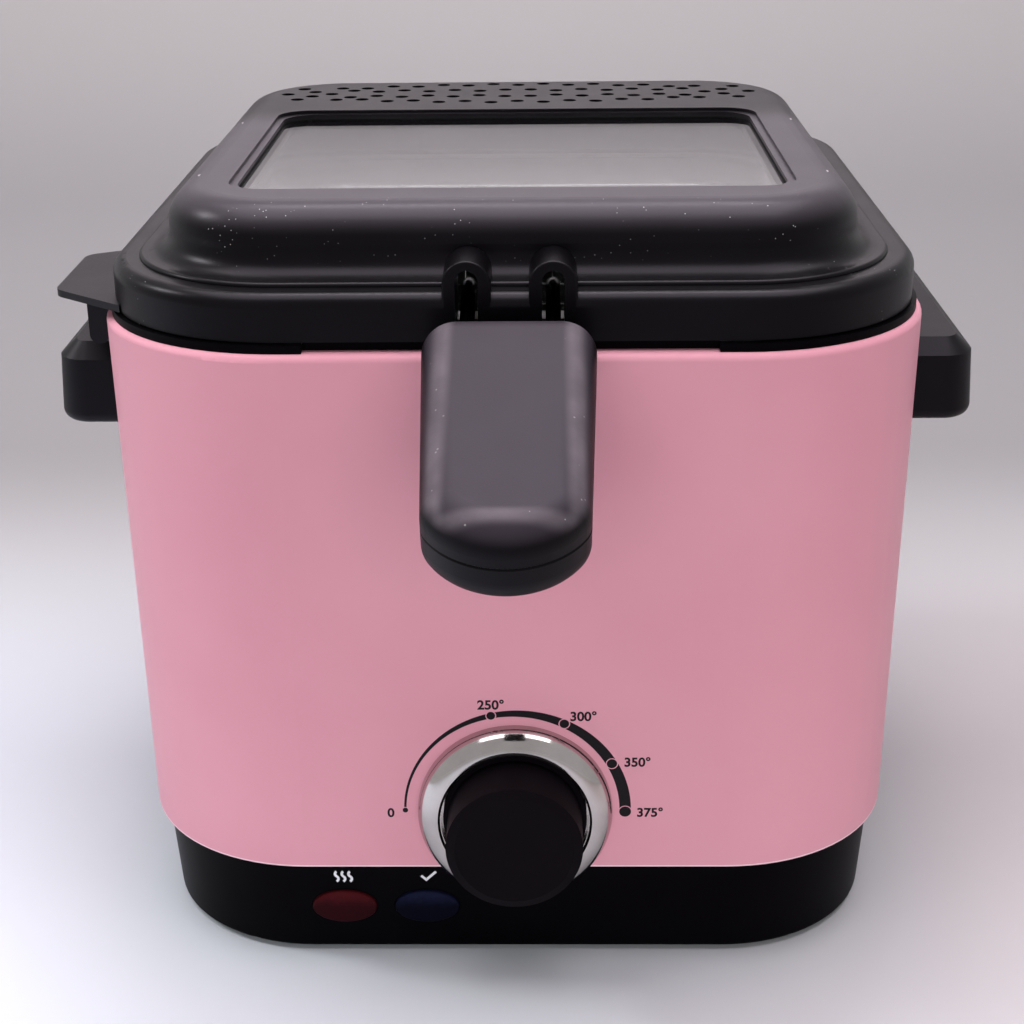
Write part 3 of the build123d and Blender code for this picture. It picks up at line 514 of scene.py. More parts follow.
@dataclass(frozen=True)
class GripFinish(Finish):
    """Black plastic with a painted sheen on top and painted highlights along its rounded edges."""

    colour: Colour = (0.0010, 0.0008, 0.0012)
    # Colours of a painted sheen on the top and of painted highlights along the side roundings and
    # the nose.
    top_sheen: Colour = (0.026, 0.020, 0.027)
    edge: Colour = (0.135, 0.114, 0.130)
    chip: Colour = (0.42, 0.40, 0.42)
    slope: float = 18.0
    rear: float = -78.4
    rear_height: float = 169.0
    thickness: float = 9.5
    sheen_depths: Pair = (3.2, 0.1)
    side_band: Band = (14.6, 1.8, 1.3)
    nose_band: Band = (69.5, 1.5, 1.2)
    glint_ends: Pair = (0.25, 0.85)
    glint_least: float = 0.45
    glint_change: float = 0.4
    chip_spots: Spots = Spots(2.6, 0.30, 0.62)
    chip_sides: float = 0.45
    cloud_size: float = 9.0
    cloud_gloss: float = 0.14
    roughness: float = 0.46
    specular: float = 0.14
    grain: float = 0.40
    grain_depth: float = 0.03
    grain_strength: float = 0.6

    def apply(self, shader: Shader) -> None:
        """Sets the painted sheen on top, painted highlights along the edges, and small chips.

        Args:
            shader: The material's shader.
        """
        turn = math.radians(self.slope)
        back = shader.axis(Axis.Y) - self.rear * MM
        rise = shader.axis(Axis.Z) - self.rear_height * MM
        along = -1 * (back * math.cos(turn) + rise * math.sin(turn))
        above = rise * math.cos(turn) - back * math.sin(turn)
        top = above.smooth(*metres(self.thickness - depth for depth in self.sheen_depths))
        cloud = shader.noise(self.cloud_size, Detail.RICH)
        side = abs(shader.axis(Axis.X)).band(*metres(self.side_band))
        front = along.band(*metres(self.nose_band))
        # Strength of the painted highlights along the side roundings and the nose, a little uneven.
        glint = self.glint_least + cloud.smooth(*self.glint_ends) * self.glint_change
        chips = shader.specks(self.chip_spots) * (side * self.chip_sides + front)
        # Painted sheen on the top, then painted highlights on the top's edges only.
        tone = shader.mix(top, self.colour, self.top_sheen)
        tone = shader.mix((side + front) * glint * top, tone, self.edge)
        shader.set(Base_Color=shader.mix(chips * top, tone, self.chip))
        shader.set(Roughness=self.roughness + cloud.swing(self.cloud_gloss))
        shader.set(Specular_IOR_Level=self.specular, Specular_Tint=GLOSS_TINT)
        grain = shader.noise(self.grain, Detail.PLAIN)
        shader.bump(grain, self.grain_depth, self.grain_strength)


@dataclass(frozen=True)
class MetalFinish(Finish):
    """Bare or plated metal."""

    colour: Colour = (0.62, 0.62, 0.63)
    stain: Colour = (0.50, 0.49, 0.48)
    roughness: float = 0.28
    streak: Place = (1, 1, 1)
    depth: float = 0.006
    stain_size: float = 12.0
    stain_ends: Pair = (0.35, 0.75)
    stain_gloss: float = 0.08
    streak_size: float = 0.8
    streak_gloss: float = 0.10
    streak_strength: float = 0.4

    def apply(self, shader: Shader) -> None:
        """Sets stains and fine streaks.

        Args:
            shader: The material's shader.
        """
        cloud = shader.noise(self.stain_size, Detail.RICH)
        streak = shader.noise(self.streak_size, Detail.FULL, self.streak)
        gloss = streak.swing(self.streak_gloss) + cloud.swing(self.stain_gloss)
        shader.set(Base_Color=shader.mix(cloud.smooth(*self.stain_ends), self.colour, self.stain))
        shader.set(Metallic=1.0, Roughness=self.roughness + gloss)
        shader.bump(streak, self.depth, self.streak_strength)


@dataclass(frozen=True)
class CoatFinish(Finish):
    """Dark non-stick coat with pale flecks."""

    colour: Colour = (0.016, 0.016, 0.017)
    fleck: Colour = (0.10, 0.10, 0.105)
    fleck_spots: Spots = Spots(1.6, 0.22, 0.65)
    roughness: float = 0.36
    film_size: float = 25.0
    film_gloss: float = 0.16
    grain: float = 0.7
    grain_depth: float = 0.02
    grain_strength: float = 0.5

    def apply(self, shader: Shader) -> None:
        """Sets the flecks and an uneven gloss.

        Args:
            shader: The material's shader.
        """
        film = shader.noise(self.film_size)
        fleck = shader.specks(self.fleck_spots)
        shader.set(Base_Color=shader.mix(fleck, self.colour, self.fleck))
        shader.set(Roughness=self.roughness + film.swing(self.film_gloss))
        grain = shader.noise(self.grain, Detail.PLAIN)
        shader.bump(grain, self.grain_depth, self.grain_strength)


@dataclass(frozen=True)
class FeltFinish(Finish):
    """Matted fibres of the filter pad."""

    colour: Colour = (0.008, 0.008, 0.008)
    fibre: Colour = (0.045, 0.045, 0.045)
    fibre_size: float = 0.9
    fibre_ways: tuple[Place, Place] = ((1, 0.25, 1), (0.25, 1, 1))
    fibre_ends: Pair = (0.4, 0.65)
    roughness: float = 0.92
    fibre_gloss: float = 0.06
    depth: float = 0.5

    def apply(self, shader: Shader) -> None:
        """Sets crossed fibres.

        Args:
            shader: The material's shader.
        """
        along, across = (
            shader.noise(self.fibre_size, Detail.RICH, way) for way in self.fibre_ways
        )
        mat = (along + across) * 0.5
        shader.set(Base_Color=shader.mix(mat.smooth(*self.fibre_ends), self.colour, self.fibre))
        shader.set(Roughness=self.roughness + mat * self.fibre_gloss)
        shader.bump(mat, self.depth)


@dataclass(frozen=True)
class GlassFinish(Finish):
    """Clear tempered glass with a faint film of grease."""

    colour: Colour = (0.90, 0.93, 0.92)
    bending: float = 1.58
    film_size: float = 45.0
    film_ends: Pair = (0.35, 0.8)
    film_gloss: float = 0.05

    def apply(self, shader: Shader) -> None:
        """Sets clear glass and its film.

        Args:
            shader: The material's shader.
        """
        film = shader.noise(self.film_size, Detail.RICH)
        shader.set(Base_Color=self.colour, IOR=self.bending, Transmission_Weight=1.0)
        shader.set(Roughness=film.smooth(*self.film_ends) * self.film_gloss)


@dataclass(frozen=True)
class LensFinish(Finish):
    """Unlit lamp lens of tinted plastic, frosted by small prisms, with painted shade that darkens
    it towards its foot.
    """

    colour: Colour = (0.055, 0.0055, 0.0075)
    # Colour of the painted shade at the lens's foot.
    deep: Colour = (0.019, 0.0022, 0.0038)
    span: Pair = (0.0, 1.0)
    shade_drop: float = 1 / 6
    prism_size: float = 1.6
    prism_mean: float = 0.4
    prism_tone: float = 0.25
    prism_gloss: float = 0.1
    prism_depth: float = 0.08
    prism_strength: float = 0.4
    roughness: float = 0.34
    specular: float = 0.04

    def apply(self, shader: Shader) -> None:
        """Sets prisms and painted shade that darkens the lens from its upper to its lower edge.

        Args:
            shader: The material's shader.
        """
        low, high = self.span
        prism = shader.cells(self.prism_size)
        start = (low + high) / 2 - (high - low) * self.shade_drop
        # Painted shade: darker towards the foot, as if lit from above.
        depth = 1 - shader.axis(Axis.Z).smooth(start, high)
        shade = depth + (prism - self.prism_mean) * self.prism_tone
        shader.set(Base_Color=shader.mix(shade.smooth(0.0, 1.0), self.colour, self.deep))
        gloss = self.roughness + prism * self.prism_gloss
        shader.set(Roughness=gloss, Specular_IOR_Level=self.specular)
        shader.bump(prism, self.prism_depth, self.prism_strength)


@dataclass(frozen=True)
class InkFinish(Finish):
    """Printed ink, a little uneven."""

    colour: Colour
    thin: Colour
    cover_size: float = 0.5
    cover_ends: Pair = (0.45, 0.8)
    cover_gloss: float = 0.15
    roughness: float = 0.5
    specular: float = 0.2

    def apply(self, shader: Shader) -> None:
        """Sets the uneven cover of the ink.

        Args:
            shader: The material's shader.
        """
        cover = shader.noise(self.cover_size)
        shader.set(Base_Color=shader.mix(cover.smooth(*self.cover_ends), self.colour, self.thin))
        gloss = self.roughness + cover * self.cover_gloss
        shader.set(Roughness=gloss, Specular_IOR_Level=self.specular)


def dress(finish: Finish, name: str, *nodes: str) -> Material:
    """Builds a finish and gives it to CAD nodes, if any are named.

    Args:
        finish: The finish.
        name: Name of its material.
        nodes: Names of the nodes that take it.

    Returns:
        The material.
    """
    shader = Shader(name)
    finish.apply(shader)
    for node in nodes:
        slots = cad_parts[node].data.materials
        slots.clear()
        slots.append(shader.material)
        log.info("%s wears %s", node, name)
    return shader.material


def select_only(*pieces: Piece) -> None:
    """Selects some objects and makes the first one active.

    Args:
        pieces: The objects.
    """
    bpy.ops.object.select_all(action="DESELECT")
    for piece in pieces:
        piece.select_set(True)
    bpy.context.view_layer.objects.active = pieces[0]


def added(primitive: Callable[..., Any], **settings: Any) -> Piece:
    """Adds a primitive with nothing else selected.

    Args:
        primitive: The operator that adds it.
        settings: The operator's settings.

    Returns:
        The new object.
    """
    bpy.ops.object.select_all(action="DESELECT")
    primitive(**settings)
    return bpy.context.object


def pick_all() -> None:
    """Selects the whole mesh in edit mode."""
    bpy.ops.mesh.select_all(action="SELECT")


@contextmanager
def editing(piece: Piece) -> Iterator[None]:
    """Opens one piece in edit mode with its whole mesh selected.

    Args:
        piece: The piece.

    Yields:
        Nothing, while the piece is open.
    """
    select_only(piece)
    bpy.ops.object.mode_set(mode="EDIT")
    bpy.ops.mesh.select_mode(type="VERT")
    pick_all()
    yield
    bpy.ops.object.mode_set(mode="OBJECT")


def move(*way: float) -> None:
    """Moves what is selected in edit mode along a way in millimetres."""
    bpy.ops.transform.translate(value=metres(way))


def extrude(*way: float) -> None:
    """Extrudes what is selected in edit mode along a way in millimetres."""
    bpy.ops.mesh.extrude_region_move(TRANSFORM_OT_translate={"value": metres(way)})


def face_outwards() -> None:
    """Selects the whole mesh in edit mode and turns its faces outwards."""
    pick_all()
    bpy.ops.mesh.normals_make_consistent(inside=False)


def pick_edges(piece: Piece, test: Callable[[Vector, Vector], bool]) -> None:
    """Selects just the edges whose two ends pass a test.

    Args:
        piece: The piece that is being edited.
        test: Gets the two ends of an edge.
    """
    bpy.ops.mesh.select_all(action="DESELECT")
    bpy.ops.mesh.select_mode(type="EDGE")
    mesh = bmesh.from_edit_mesh(piece.data)
    for edge in mesh.edges:
        if test(*(corner.co for corner in edge.verts)):
            edge.select_set(True)
    mesh.select_flush_mode()
    bmesh.update_edit_mesh(piece.data)


def joined(name: str, pieces: Sequence[Piece]) -> Piece:
    """Joins some pieces into the first one.

    Args:
        name: Name of the joined piece.
        pieces: The pieces to join.

    Returns:
        The joined piece.
    """
    select_only(*pieces)
    bpy.ops.object.join()
    pieces[0].name = name
    return pieces[0]


def apply_modifier(piece: Piece, kind: str, **settings: Any) -> None:
    """Adds a modifier to a piece and applies it.

    Args:
        piece: The piece.
        kind: The modifier's type.
        settings: Its properties.
    """
    select_only(piece)
    modifier = piece.modifiers.new("shape", kind)
    for key, value in settings.items():
        setattr(modifier, key, value)
    bpy.ops.object.modifier_apply(modifier=modifier.name)


def fasten(
    piece: Piece, material: Material, body: Body
) -> None:
    """Finishes a new piece and lets it ride on a body.

    Args:
        piece: The piece.
        material: Its finish.
        body: The body that carries it.
    """
    piece.data.materials.clear()
    piece.data.materials.append(material)
    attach(piece, body.value)
    log.info("%s rides on %s", piece.name, body.value)


@dataclass(frozen=True)
class PrintPlane:
    """Flat face that takes print: its middle, and how far its top leans forward in degrees."""

    middle: Place
    lean: float

    def settle(self, piece: Piece) -> None:
        """Moves a piece from the origin onto the face and applies its place.

        Args:
            piece: The piece, whose X, Y and Z run across, up and out of the face.
        """
        turn = math.radians(self.lean)
        up = Vector((0, -math.sin(turn), math.cos(turn)))
        out = Vector((0, -math.cos(turn), -math.sin(turn)))
        axes = Matrix((Vector((1, 0, 0)), up, out)).transposed().to_4x4()
        select_only(piece)
        piece.matrix_world = Matrix.Translation(Vector(self.middle) * MM) @ axes
        bpy.ops.object.transform_apply(location=True, rotation=True, scale=True)


@dataclass
class Housing:
    """Painted sleeve on a black base, with its ring, handles and feet."""

    paint: PaintFinish = PaintFinish()
    base: PlasticFinish = PlasticFinish(roughness=0.40, specular=0.03)
    handle: PlasticFinish = PlasticFinish(roughness=0.44, dust=0.40, specular=0.16)
    rubber: PlasticFinish = PlasticFinish(roughness=0.85, depth=0.05, dust=0.5)
    steel: MetalFinish = MetalFinish()

    def dress(self) -> None:
        """Dresses the outer shell."""
        dress(self.paint, "pink_paint", "housing_shell")
        dress(self.base, "base_plastic", "base_tray", "rim_ring")
        dress(self.handle, "handle_plastic", "left_handle", "right_handle")
        dress(self.rubber, "foot_rubber", "rubber_feet")
        dress(self.steel, "fitting_steel", "hinge_pin", "handle_screws")


@dataclass
class Heater:
    """Bowl with its heating plate, thermostat and the rods that clamp it."""

    coat: CoatFinish = CoatFinish()
    cast: MetalFinish = MetalFinish((0.50, 0.50, 0.51), (0.40, 0.39, 0.38), 0.52, (1, 1, 1), 0.04)
    sheath: MetalFinish = MetalFinish((0.20, 0.18, 0.17), (0.12, 0.09, 0.08), 0.45)
    sheet: MetalFinish = MetalFinish((0.62, 0.62, 0.63), (0.52, 0.51, 0.50), 0.30, (1, 0.05, 1))
    copper: MetalFinish = MetalFinish((0.72, 0.43, 0.28), (0.50, 0.27, 0.17), 0.34)
    phenolic: PlasticFinish = PlasticFinish(
        (0.020, 0.011, 0.008), (0.030, 0.018, 0.013), roughness=0.5
    )

    def dress(self) -> None:
        """Dresses the bowl and what heats it."""
        dress(self.coat, "bowl_coat", "bowl")
        dress(self.cast, "cast_metal", "heat_plate")
        dress(self.sheath, "element_sheath", "heating_element")
        dress(
            self.sheet, "sheet_steel",
            "heat_shield", "tie_rods", "tie_nuts", "thermostat_shaft", "thermostat_nut",
        )
        dress(self.copper, "bulb_copper", "thermostat_bulb")
        dress(self.phenolic, "brown_phenolic", "thermostat_body", "thermal_cutout")


@dataclass
class PowerSocket:
    """Magnetic plug socket at the rear."""

    shell: PlasticFinish = PlasticFinish(roughness=0.5)
    brass: MetalFinish = MetalFinish((0.78, 0.60, 0.30), (0.60, 0.44, 0.20), 0.25)
    steel: MetalFinish = MetalFinish(roughness=0.35)

    def dress(self) -> None:
        """Dresses the socket."""
        dress(self.shell, "socket_plastic", "power_inlet")
        dress(self.brass, "pin_brass", "inlet_pins")
        dress(self.steel, "plate_steel", "inlet_plates")


@dataclass
class Dial:
    """Knob in a bright bezel, with its printed scale."""

    face: PrintPlane = PrintPlane((0.0, -108.498 + MIDDLE, 45.9), 0.71)
    rise: float = 0.1
    radius: float = 27.9
    thick_end: float = 2.9
    thin_end: float = 0.6
    points: int = 180
    print_depth: float = 0.03
    print_sink: float = 0.02
    dots: tuple[Pair, ...] = ((180, 0.7), (102, 1.1), (63.5, 1.2), (29, 1.3), (-1, 1.5))
    dot_points: int = 40
    dot_gap: float = 0.25
    gap_depth: float = 1.0
    marks: tuple[tuple[str, float, float], ...] = (
        ("0", -31.6, -0.8), ("250°", -5.76, 30.3), ("300°", 17.2, 27.0),
        ("350°", 30.8, 13.9), ("375°", 34.2, -0.8),
    )
    mark_height: float = 2.6
    mark_weight: float = 0.10
    type_scale: float = 1.37
    chrome: MetalFinish = MetalFinish((0.53, 0.50, 0.485), (0.45, 0.42, 0.405), 0.11, depth=0.002)
    knob: PlasticFinish = PlasticFinish(
        (0.0022, 0.0014, 0.0022), (0.0030, 0.0020, 0.0030), roughness=0.58, dust=0.30, specular=0.06
    )
    ink: InkFinish = InkFinish((0.004, 0.003, 0.004), (0.010, 0.006, 0.008))

    def build(self) -> None:
        """Prints the scale and dresses knob and bezel."""
        ink = dress(self.ink, "scale_ink")
        for piece in (self.build_scale(), self.build_marks()):
            self.face.settle(piece)
            fasten(piece, ink, Body.BASE)
        dress(self.chrome, "bezel_chrome", "dial_bezel")
        dress(self.knob, "knob_plastic", "control_knob")

    def half_ring(self, radius: float, shift: float) -> Piece:
        """Makes the upper half of a circle of edges.

        Args:
            radius: Its radius.
            shift: How far its middle is shifted to the right.

        Returns:
            The half ring.
        """
        ring = added(bpy.ops.mesh.primitive_circle_add, vertices=self.points, radius=radius * MM)
        with editing(ring):
            pick_edges(ring, lambda a, b: min(a.y, b.y) < -TINY)
            bpy.ops.mesh.delete(type="EDGE")
            pick_all()
            move(shift, self.rise, -self.print_sink)
        return ring

    def disc(self, angle: float, radius: float, half: float) -> Piece:
        """Makes a low round block on the scale.

        Args:
            angle: Its place on the scale in degrees.
            radius: Its radius.
            half: Half of its height.

        Returns:
            The block.
        """
        turn = math.radians(angle)
        disc = added(
            bpy.ops.mesh.primitive_circle_add,
            vertices=self.dot_points, radius=radius * MM, fill_type="NGON",
        )
        with editing(disc):
            move(self.radius * math.cos(turn), self.radius * math.sin(turn) + self.rise, -half)
            extrude(0, 0, 2 * half)
            face_outwards()
        return disc

    def build_scale(self) -> Piece:
        """Makes the swelling arc, from two half rings off centre, with its five dots.

        Returns:
            The printed scale, still at the origin.
        """
        swell = (self.thick_end - self.thin_end) / 4
        half = (self.thick_end + self.thin_end) / 4
        rings = [
            self.half_ring(self.radius - half, -swell), self.half_ring(self.radius + half, swell)
        ]
        arc = joined("dial_scale", rings)
        with editing(arc):
            bpy.ops.mesh.select_mode(type="EDGE")
            bpy.ops.mesh.bridge_edge_loops()
            pick_all()
            extrude(0, 0, self.print_sink + self.print_depth)
            face_outwards()
        cuts = [self.disc(angle, size + self.dot_gap, self.gap_depth) for angle, size in self.dots]
        gaps = joined("gaps", cuts)
        apply_modifier(arc, "BOOLEAN", operation="DIFFERENCE", object=gaps, solver="EXACT")
        bpy.data.objects.remove(gaps)
        dots = [self.disc(angle, size, self.print_depth) for angle, size in self.dots]
        return joined("dial_scale", [arc, *dots])

    def build_marks(self) -> Piece:
        """Makes the numbers of the scale.

        Returns:
            The numbers as one flat piece, still at the origin.
        """
        numbers = []
        for text, across, up in self.marks:
            number = added(bpy.ops.object.text_add)
            letters = number.data
            letters.body = text
            letters.align_x = "CENTER"
            letters.align_y = "CENTER"
            letters.size = self.mark_height * self.type_scale * MM
            letters.offset = self.mark_weight * MM
            letters.extrude = self.print_depth * MM
            bpy.ops.object.convert(target="MESH")
            with editing(number):
                move(across, up, 0)
            numbers.append(number)
        return joined("dial_numbers", numbers)


@dataclass
class LampPair:
    """Two lamp lenses in the base, each under a small printed sign."""

    face: PrintPlane = PrintPlane((0.0, -105.340 + MIDDLE, 24.0), 4.0)
    stroke: float = 0.68
    stroke_start: float = 0.1
    heat_place: float = -45.0
    wave_radius: float = 0.95
    wave_turn: float = 110.0
    wave_steps: int = 10
    wave_gap: float = 1.75
    tick_place: float = -23.4
    tick_rise: float = -1.0
    tick_turn: float = 45.0
    tick_long: float = 3.3
    tick_short: float = 1.5
    print_depth: float = 0.03
    merge: float = 0.01
    ink: InkFinish = InkFinish((0.78, 0.78, 0.82), (0.62, 0.62, 0.66))
    red: LensFinish = LensFinish()
    blue: LensFinish = LensFinish((0.0068, 0.0085, 0.027), (0.0010, 0.0012, 0.0055))
    white: PlasticFinish = PlasticFinish((0.70, 0.70, 0.66), (0.74, 0.74, 0.70), dust=0.2)

    def build(self) -> None:
        """Prints the two signs and dresses lenses and holders."""
        ink = dress(self.ink, "sign_ink")
        for piece in (self.build_heat_sign(), self.build_tick_sign()):
            with editing(piece):
                bpy.ops.mesh.remove_doubles(threshold=self.merge * MM)
                extrude(0, 0, 2 * self.print_depth)
                face_outwards()
                move(0, 0, -self.print_depth)
            self.face.settle(piece)
            fasten(piece, ink, Body.BASE)
        for lens, name, node in (
            (self.red, "red_lens", "heating_lens"), (self.blue, "blue_lens", "ready_lens")
        ):
            low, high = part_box(node)
            dress(replace(lens, span=(low[2], high[2])), name, node)
        dress(self.white, "holder_white", "lamp_holders")

    def bar(self, name: str, width: float, height: float) -> Piece:
        """Starts a flat sign as one small rectangle.

        Args:
            name: Name of the sign.
            width: Width of the rectangle.
            height: Height of the rectangle.

        Returns:
            The rectangle.
        """
        bar = added(bpy.ops.mesh.primitive_plane_add, size=1)
        bar.name = name
        with editing(bar):
            bpy.ops.transform.resize(value=(width * MM, height * MM, 1))
        return bar

    def build_heat_sign(self) -> Piece:
        """Makes three rising waves by spinning a stroke to and fro.

        Returns:
            The flat sign, still at the origin.
        """
        turn = math.radians(self.wave_turn)
        ahead = Vector((math.sin(turn / 2), math.cos(turn / 2), 0))
        waves = []
        for shift in (-self.wave_gap, 0.0, self.wave_gap):
            wave = self.bar("heat_sign", self.stroke, self.stroke_start)
            with editing(wave):
                bpy.ops.transform.rotate(
                    value=turn / 2, orient_axis="Z", center_override=(0, 0, 0)
                )
                pick_edges(wave, lambda a, b: min(a.dot(ahead), b.dot(ahead)) > TINY)
                for side in (1, -1):
                    self.spin_on(wave, side, turn)
            points = [point.co for point in wave.data.vertices]
            middle = sum(points, Vector()) / len(points) / MM
            with editing(wave):
                move(self.heat_place + shift - middle.x, -middle.y, 0)
            waves.append(wave)
        return joined("heat_sign", waves)

    def spin_on(self, wave: Piece, side: int, turn: float) -> None:
        """Spins the selected end of a stroke on to one side.

        Args:
            wave: The stroke that is being edited.
            side: 1 bends to the left, -1 to the right.
            turn: Angle in radians.
        """
        mesh = bmesh.from_edit_mesh(wave.data)
        ends = [corner.co.copy() for corner in next(e for e in mesh.edges if e.select).verts]
        left, right = sorted(ends, key=lambda p: p.x)
        out = (left - right).normalized() * self.wave_radius * MM * side
        bpy.ops.mesh.spin(
            steps=self.wave_steps,
            angle=turn,
            center=(left + right) / 2 + out,
            axis=(0, 0, -side),
            use_auto_merge=False,
        )

    def build_tick_sign(self) -> Piece:
        """Makes a tick from two arms at a right angle.

        Returns:
            The flat sign, still at the origin.
        """
        tick = self.bar("tick_sign", self.stroke, self.stroke)
        edge = self.stroke / 2 * MM - TINY
        with editing(tick):
            pick_edges(tick, lambda a, b: min(a.y, b.y) > edge)
            extrude(0, self.tick_long, 0)
            pick_edges(tick, lambda a, b: max(a.x, b.x) < -edge and max(a.y, b.y) < 2 * edge)
            extrude(-self.tick_short, 0, 0)
            pick_all()
            bpy.ops.transform.rotate(
                value=math.radians(self.tick_turn), orient_axis="Z", center_override=(0, 0, 0)
            )
            move(self.tick_place, self.tick_rise, 0)
        return tick


@dataclass
class Lid:
    """Hinged lid with its window, filter and lift tab."""

    cover: LidFinish = LidFinish(roughness=0.33, dust=0.48, specular=0.14)
    tab: PlasticFinish = PlasticFinish(roughness=0.46, dust=0.40)
    inner: PlasticFinish = PlasticFinish(roughness=0.5)
    seal: PlasticFinish = PlasticFinish(
        (0.006, 0.006, 0.006), (0.009, 0.009, 0.009), roughness=0.8, depth=0.04
    )
    glass: GlassFinish = GlassFinish()
    felt: FeltFinish = FeltFinish()
    steel: MetalFinish = MetalFinish(roughness=0.32)

    def dress(self) -> None:
        """Dresses the lid."""
        dress(self.cover, "lid_plastic", "lid_cover")
        dress(self.tab, "tab_plastic", "lift_tab")
        dress(self.inner, "inner_plastic", "filter_cover", "window_frame")
        dress(self.seal, "window_seal", "window_gasket")
        dress(self.glass, "window_glass", "lid_window")
        dress(self.felt, "filter_felt", "charcoal_filter")
        dress(self.steel, "screw_steel", "window_screws", "tab_screws")


@dataclass
class Basket:
    """Wire basket with its long handle."""

    top_height: float = 162.0
    top_half: Pair = (70.3, 78.3)
    top_corner: float = 16.3
    low_height: float = 84.7
    low_half: Pair = (64.8, 72.8)
    low_corner: float = 10.8
    corner_steps: int = 4
    cuts: tuple[int, int] = (14, 16)
    floor_more: int = 4
    rows: int = 10
    wire: float = 1.1
    bright: MetalFinish = MetalFinish((0.66, 0.66, 0.67), (0.55, 0.54, 0.52), 0.22)
    coated: MetalFinish = MetalFinish((0.030, 0.029, 0.030), (0.022, 0.021, 0.022), 0.22)
    grip: GripFinish = GripFinish()

    def build(self) -> None:
        """Weaves the basket and dresses its handle."""
        bright = dress(self.bright, "basket_steel", "basket_rim", "basket_bracket", "grip_screws")
        mesh = self.build_mesh()
        fasten(mesh, bright, Body.BASKET)
        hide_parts("basket")
        dress(self.coated, "handle_steel", "handle_wire")
        dress(self.grip, "grip_plastic", "grip_upper", "grip_lower")

    def ring(self, half: Pair, corner: float, height: float) -> Piece:
        """Makes one rounded ring of edges, divided where wires cross it.

        Args:
            half: Half of its width and depth.
            corner: Radius of its corners.
            height: Its height.

        Returns:
            The ring.
        """
        ring = added(bpy.ops.mesh.primitive_plane_add, size=2)
        with editing(ring):
            bpy.ops.transform.resize(value=(*metres(half), 1))
            move(0, MIDDLE, height)
            bpy.ops.mesh.bevel(
                offset=corner * MM, segments=self.corner_steps, affect="VERTICES"
            )
            pick_all()
            bpy.ops.mesh.delete(type="ONLY_FACE")
            long = corner * MM
            pick_edges(ring, lambda a, b: abs(a.x - b.x) > long and abs(a.y - b.y) < TINY)
            bpy.ops.mesh.subdivide(number_cuts=self.cuts[0])
            pick_edges(ring, lambda a, b: abs(a.y - b.y) > long and abs(a.x - b.x) < TINY)
            bpy.ops.mesh.subdivide(number_cuts=self.cuts[1])
        return ring

    def floor(self) -> Piece:
        """Makes the floor's grid of edges with its corners cut off.

        Returns:
            The grid.
        """
        columns, lines = (cuts + self.floor_more for cuts in self.cuts)
        grid = added(
            bpy.ops.mesh.primitive_grid_add, x_subdivisions=columns, y_subdivisions=lines, size=2
        )
        # A cut at 45 degrees through this point touches the wall's corner radius.
        reach = self.low_corner * (2 - math.sqrt(2)) / 2
        across, deep = (half - reach for half in self.low_half)
        with editing(grid):
            bpy.ops.transform.resize(value=(*metres(self.low_half), 1))
            move(0, MIDDLE, self.low_height)
            for x, y in ((-1, -1), (-1, 1), (1, -1), (1, 1)):
                pick_all()
                cut = metres((x * across, y * deep + MIDDLE, self.low_height))
                bpy.ops.mesh.bisect(plane_co=cut, plane_no=(x, y, 0), clear_outer=True)
        return grid

    def build_mesh(self) -> Piece:
        """Joins walls and floor and turns their edges into wires.

        Returns:
            The wire mesh.
        """
        rings = [
            self.ring(self.top_half, self.top_corner, self.top_height),
            self.ring(self.low_half, self.low_corner, self.low_height),
        ]
        walls = joined("wire_basket", rings)
        with editing(walls):
            bpy.ops.mesh.select_mode(type="EDGE")
            pick_all()
            bpy.ops.mesh.bridge_edge_loops(number_cuts=self.rows)
        basket = joined("wire_basket", [walls, self.floor()])
        apply_modifier(
            basket, "WIREFRAME", thickness=self.wire * MM, use_even_offset=False, use_boundary=True
        )
        with editing(basket):
            face_outwards()
        bpy.ops.object.shade_smooth()
        return basket


@dataclass(frozen=True)
class Viewpoint:
    """Camera that looks at the fryer as in the photograph."""

    place: Place = (0.007486, -0.472227, 0.291308)
    pitch: float = 22.278
    yaw: float = -1.073
    roll: float = -0.617
    lens: float = 64.02
    sensor: float = 36.0

    def build(self) -> None:
        """Makes the camera, turns it and sets it as the scene's own."""
        pitch, yaw, roll = (math.radians(a) for a in (self.pitch, self.yaw, self.roll))
        level = math.cos(pitch)
        ahead = Vector((math.sin(yaw) * level, math.cos(yaw) * level, -math.sin(pitch)))
        right = Vector((math.cos(yaw), -math.sin(yaw), 0))
        up = right.cross(ahead)
        rolled_right = math.cos(roll) * right + math.sin(roll) * up
        rolled_up = math.cos(roll) * up - math.sin(roll) * right
        turn = Matrix((rolled_right, rolled_up, -ahead)).transposed().to_4x4()
        data = bpy.data.cameras.new("view")
        data.lens = self.lens
        data.sensor_width = self.sensor
        camera = bpy.data.objects.new("view", data)
        bpy.context.scene.collection.objects.link(camera)
        camera.matrix_world = Matrix.Translation(Vector(self.place)) @ turn
        bpy.context.scene.camera = camera


@dataclass(frozen=True)
class Softbox:
    """One large soft lamp."""

    name: str
    place: Place
    aim: Place
    width: float
    depth: float
    power: float
    colour: Colour = WHITE
    mirrored: bool = True

    def build(self) -> None:
        """Makes the lamp and points it at its aim."""
        data = bpy.data.lights.new(self.name, "AREA")
        data.shape = "RECTANGLE"
        data.size = self.width
        data.size_y = self.depth
        data.energy = self.power
        data.color = self.colour
        lamp = bpy.data.objects.new(self.name, data)
        lamp.visible_camera = False
        lamp.visible_glossy = self.mirrored
        bpy.context.scene.collection.objects.link(lamp)
        way = Vector(self.aim) - Vector(self.place)
        turn = way.to_track_quat("-Z", "Y").to_matrix().to_4x4()
        lamp.matrix_world = Matrix.Translation(Vector(self.place)) @ turn


